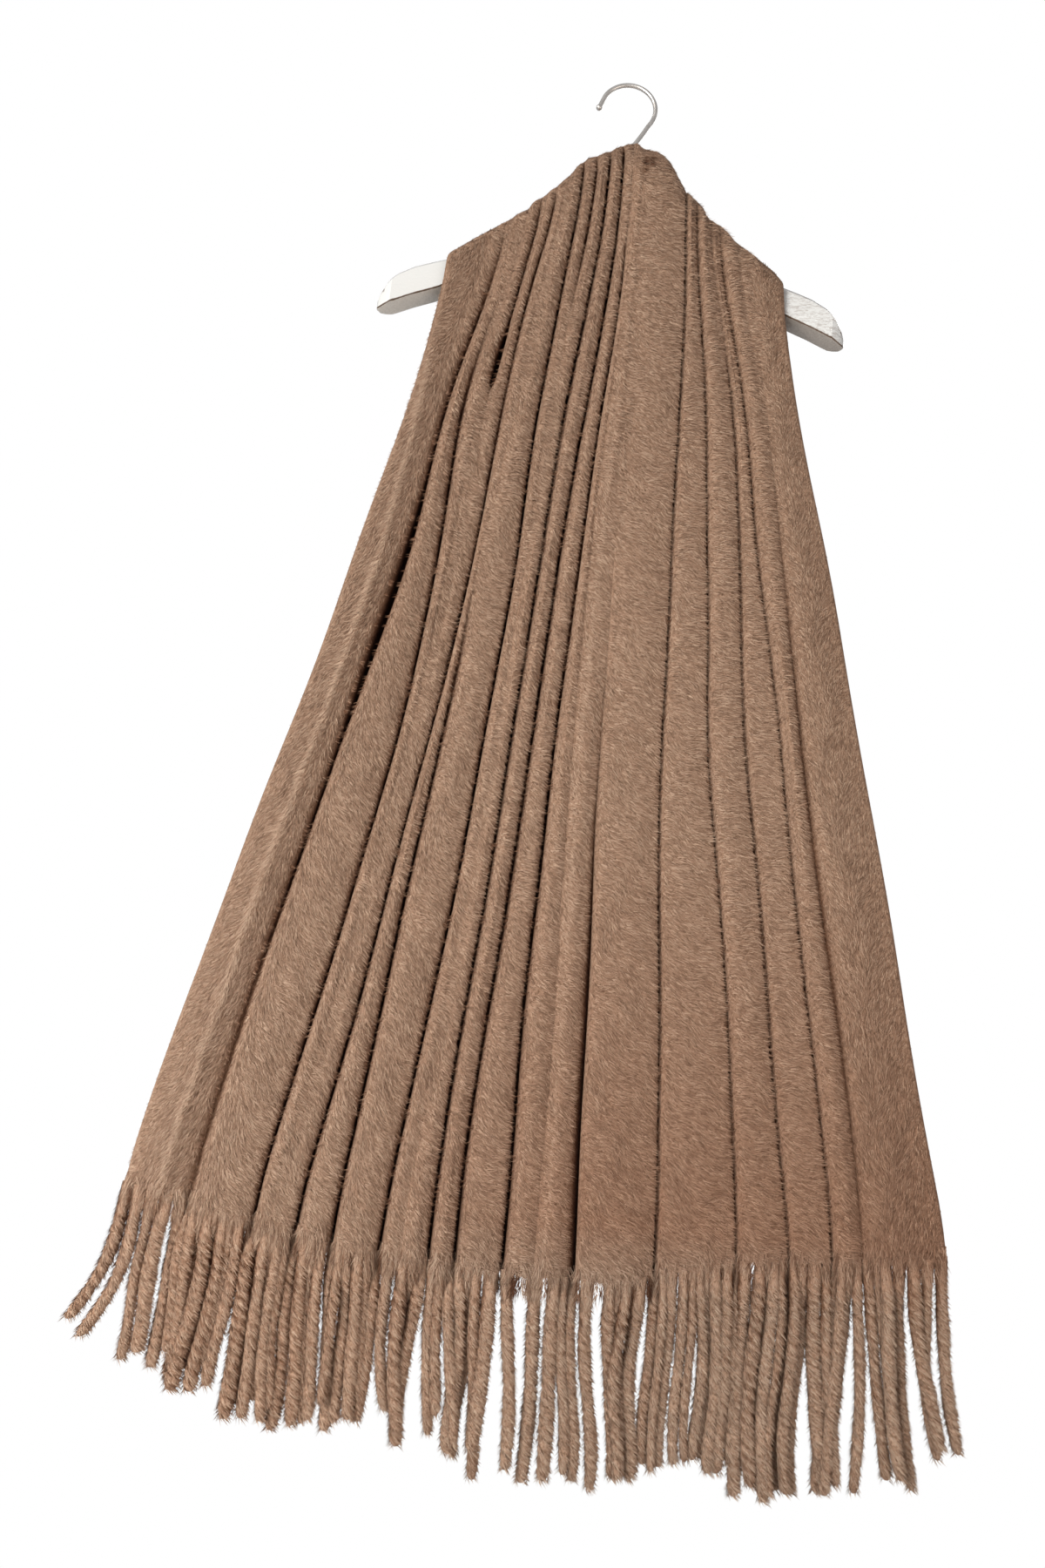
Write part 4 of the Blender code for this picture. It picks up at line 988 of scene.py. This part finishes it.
def tassel_fluff(name, cords_laid, density, seed):
    """Fibres all over every cord, laid along its twist: density is for its length times its half width."""
    luck = np.random.default_rng(seed)
    roots, ways, flats, shades = [], [], [], []
    for centre, half_across, half_deep, twist, ply_shade, gaps in cords_laid:
        length = centre[0, 2] - centre[-1, 2]
        count = int(density * length * half_across[-1 - len(centre) // 2])
        spot = luck.uniform(0.0, len(centre) - 1.001, count)
        low = spot.astype(int)
        part = (spot - low)[:, None]
        place = centre[low] * (1.0 - part) + centre[low + 1] * part
        turn = luck.uniform(0.0, 2.0 * math.pi, count)
        out = np.stack((np.cos(turn), np.sin(turn), np.zeros(count)), axis=1)
        side = np.stack((-np.sin(turn), np.cos(turn), np.zeros(count)), axis=1)
        lift = np.radians(luck.uniform(*FLUFF_LIFT, count))[:, None]
        reach = np.stack((half_across[low], half_deep[low], np.zeros(count)), axis=1)
        roots.append(place + out * reach * 0.95)
        along = centre[0, 2] - place[:, 2]
        laid = ((twist[-1] - twist[0]) / length * half_across[low] * eased_in(along, ROOT_REACH))[:, None]
        shades.append(painted_cord_shade(along, turn, twist[low], ply_shade, gaps))
        ways.append(unit(centre[low + 1] - centre[low]) * np.cos(lift) + out * np.sin(lift)
                    + side * (0.5 * laid + luck.normal(0.0, 0.2, (count, 1))))
        flats.append(out)
    roots, ways, flats, shades = (np.concatenate(parts) for parts in (roots, ways, flats, shades))
    lengths = luck.uniform(*FLUFF_LENGTH, len(roots))
    tones = luck.normal(*FLUFF_TONE, len(roots))
    blades(name, roots, unit(ways), flats, lengths, tones, shades)


def hem_tufts(name, cords_laid, hem_row, side, count, seed):
    """Longer fibres at the hem, which draw together towards the tassel that they belong to."""
    luck = np.random.default_rng(seed)
    spot = luck.uniform(0.0, len(hem_row) - 1.001, count)
    low = spot.astype(int)
    part = (spot - low)[:, None]
    place = hem_row[low] * (1.0 - part) + hem_row[low + 1] * part
    off = side * luck.uniform(0.7, 1.6, count)
    place = place + np.stack((np.zeros(count), off, luck.uniform(-12.0, 9.0, count)), axis=1)
    middles = [cord[0] for cord in cords_laid]
    cord_roots = np.array([middle[0, 0] for middle in middles])
    cord_lower = np.array([np.interp(HEM_DRAW, middle[0, 2] - middle[:, 2], middle[:, 0])
                           for middle in middles])
    nearest = np.abs(place[:, :1] - cord_roots[None, :]).argmin(axis=1)
    toward = (cord_lower[nearest] - place[:, 0]) / HEM_DRAW
    aside = np.clip(np.abs(place[:, 0] - cord_roots[nearest]) / 3.0 - 0.4, 0.0, 1.0)
    # painted shade where a fibre lies between two tassels' roots near the hem, plus a little painted shade
    # at random
    root_gap_shade = luck.uniform(0.0, 1.0, len(cord_roots))[nearest] * aside * (place[:, 2] < hem_row[low, 2] + 3.0)
    way = np.stack((0.7 * toward + luck.normal(0.0, 0.26, count), side * luck.uniform(0.02, 0.2, count),
                    -np.ones(count)), axis=1)
    flats = np.tile((0.0, -1.0, 0.0), (count, 1)) + luck.normal(0.0, 0.3, (count, 3))
    tones = luck.normal(*HEM_TONE, count)
    lengths = luck.uniform(*HEM_LENGTH, count)
    shades = np.minimum(0.8 * root_gap_shade + luck.normal(0.0, 0.15, count), 0.8)
    blades(name, place, unit(way), flats, lengths, tones, shades)


middle_column = columns.index((10, "groove", 0.0))
last_column = columns_all - 1
ridge_row = (top_first + top_last) // 2
nap_on_cloth("nap_front_left", 160000, (0, ridge_row), (0, middle_column), 61)
nap_on_cloth("nap_front_right", 150000, (0, ridge_row), (middle_column, last_column), 62)
nap_on_cloth("nap_back", 100000, (ridge_row, rows_all - 1), (0, last_column), 63)
nap_over_grooves("nap_over_grooves", 180, 6, 66)
tassel_fluff("front_tassel_fluff", front_cords, 2.2, 64)
tassel_fluff("back_tassel_fluff", back_cords, 1.2, 65)
hem_tufts("front_hem_tufts", front_cords, cloth_grid[0], -1.0, 12000, 67)
hem_tufts("back_hem_tufts", back_cords, cloth_grid[-1], 1.0, 9000, 68)

# The studio: a plain pale floor well under the hanging scarf, one broad lamp high at the front
# left, weaker ones low at the left and right and behind, and a bright pale room. The camera
# stands close and low. Each lamp's spread is in degrees, and a small one makes a narrow beam.
FLOOR_HEIGHT = -1.75
WHITE = (1.0, 1.0, 1.0)


def white_to_camera(tree, lit, kind, output):
    """What the camera sees is plain white; the light that falls on it and comes off it is lit's."""
    seen = add_node(tree, "ShaderNodeLightPath").outputs["Is Camera Ray"]
    glow = add_node(tree, kind, Color=WHITE, Strength=1.0)
    mixed = add_node(tree, "ShaderNodeMixShader", seen, lit.outputs[0], glow.outputs[0])
    tree.links.new(mixed.outputs["Shader"], tree.nodes[output].inputs["Surface"])


deselect()
bpy.ops.mesh.primitive_plane_add(size=30.0, location=(0.0, 0.0, FLOOR_HEIGHT))
floor = bpy.context.object
floor.name = "studio_floor"
material, tree, shader = new_material("pale_floor")
dress(tree, shader, {"Base Color": (0.86, 0.86, 0.86), "Roughness": 0.9})
white_to_camera(tree, shader, "ShaderNodeEmission", "Material Output")
floor.data.materials.append(material)

world = bpy.data.worlds.new("studio")
bpy.context.scene.world = world
world.use_nodes = True
room = world.node_tree
background = room.nodes["Background"]
dress(room, background, {"Color": (0.97, 0.98, 1.0), "Strength": 0.40})
white_to_camera(room, background, "ShaderNodeBackground", "World Output")


def softbox(name, place, aim, size, power, colour, spread):
    lamp = bpy.data.lights.new(name, "AREA")
    lamp.shape = "SQUARE"
    lamp.size = size
    lamp.energy = power
    lamp.color = colour
    lamp.spread = math.radians(spread)
    holder = bpy.data.objects.new(name, lamp)
    bpy.context.scene.collection.objects.link(holder)
    holder.location = place
    holder.rotation_euler = (Vector(aim) - Vector(place)).to_track_quat("-Z", "Y").to_euler()


softbox("lamp_left", (-1.5, -2.0, 0.0), (0.0, 0.0, -0.52), 1.3, 23.6, (1.0, 0.98, 0.94), 105.0)
softbox("lamp_low_left", (-1.5, -1.2, -1.2), (-0.5, 0.0, -1.1), 0.5, 1.3, (0.94, 0.98, 1.0), 44.0)
softbox("lamp_right", (1.5, -1.9, -1.2), (0.1, 0.0, -0.8), 1.2, 4.3, (1.0, 0.86, 0.74), 105.0)
softbox("lamp_behind", (0.6, 2.4, 1.0), (0.0, 0.0, -0.5), 1.8, 11.0, (1.0, 0.98, 0.95), 105.0)

CAMERA_BACK, CAMERA_UNDER_ARMS = 1.090, 0.655
CAMERA_PITCH, CAMERA_ROLL = 11.5, 4.79
PHOTO_HEIGHT, AXIS_OFF_MIDDLE = 1800.0, 56.5
lens = bpy.data.cameras.new("photo_camera")
lens.lens = 30.0
lens.sensor_width = 36.0
lens.shift_x = -AXIS_OFF_MIDDLE / PHOTO_HEIGHT
camera = bpy.data.objects.new("photo_camera", lens)
bpy.context.scene.collection.objects.link(camera)
camera.matrix_world = (Matrix.Translation((0.0, -CAMERA_BACK, -HOOK_BEARING * MM - CAMERA_UNDER_ARMS))
                       @ Matrix.Rotation(math.radians(90.0 + CAMERA_PITCH), 4, "X")
                       @ Matrix.Rotation(math.radians(CAMERA_ROLL), 4, "Z"))
bpy.context.scene.camera = camera
bpy.context.scene.view_settings.view_transform = "Standard"
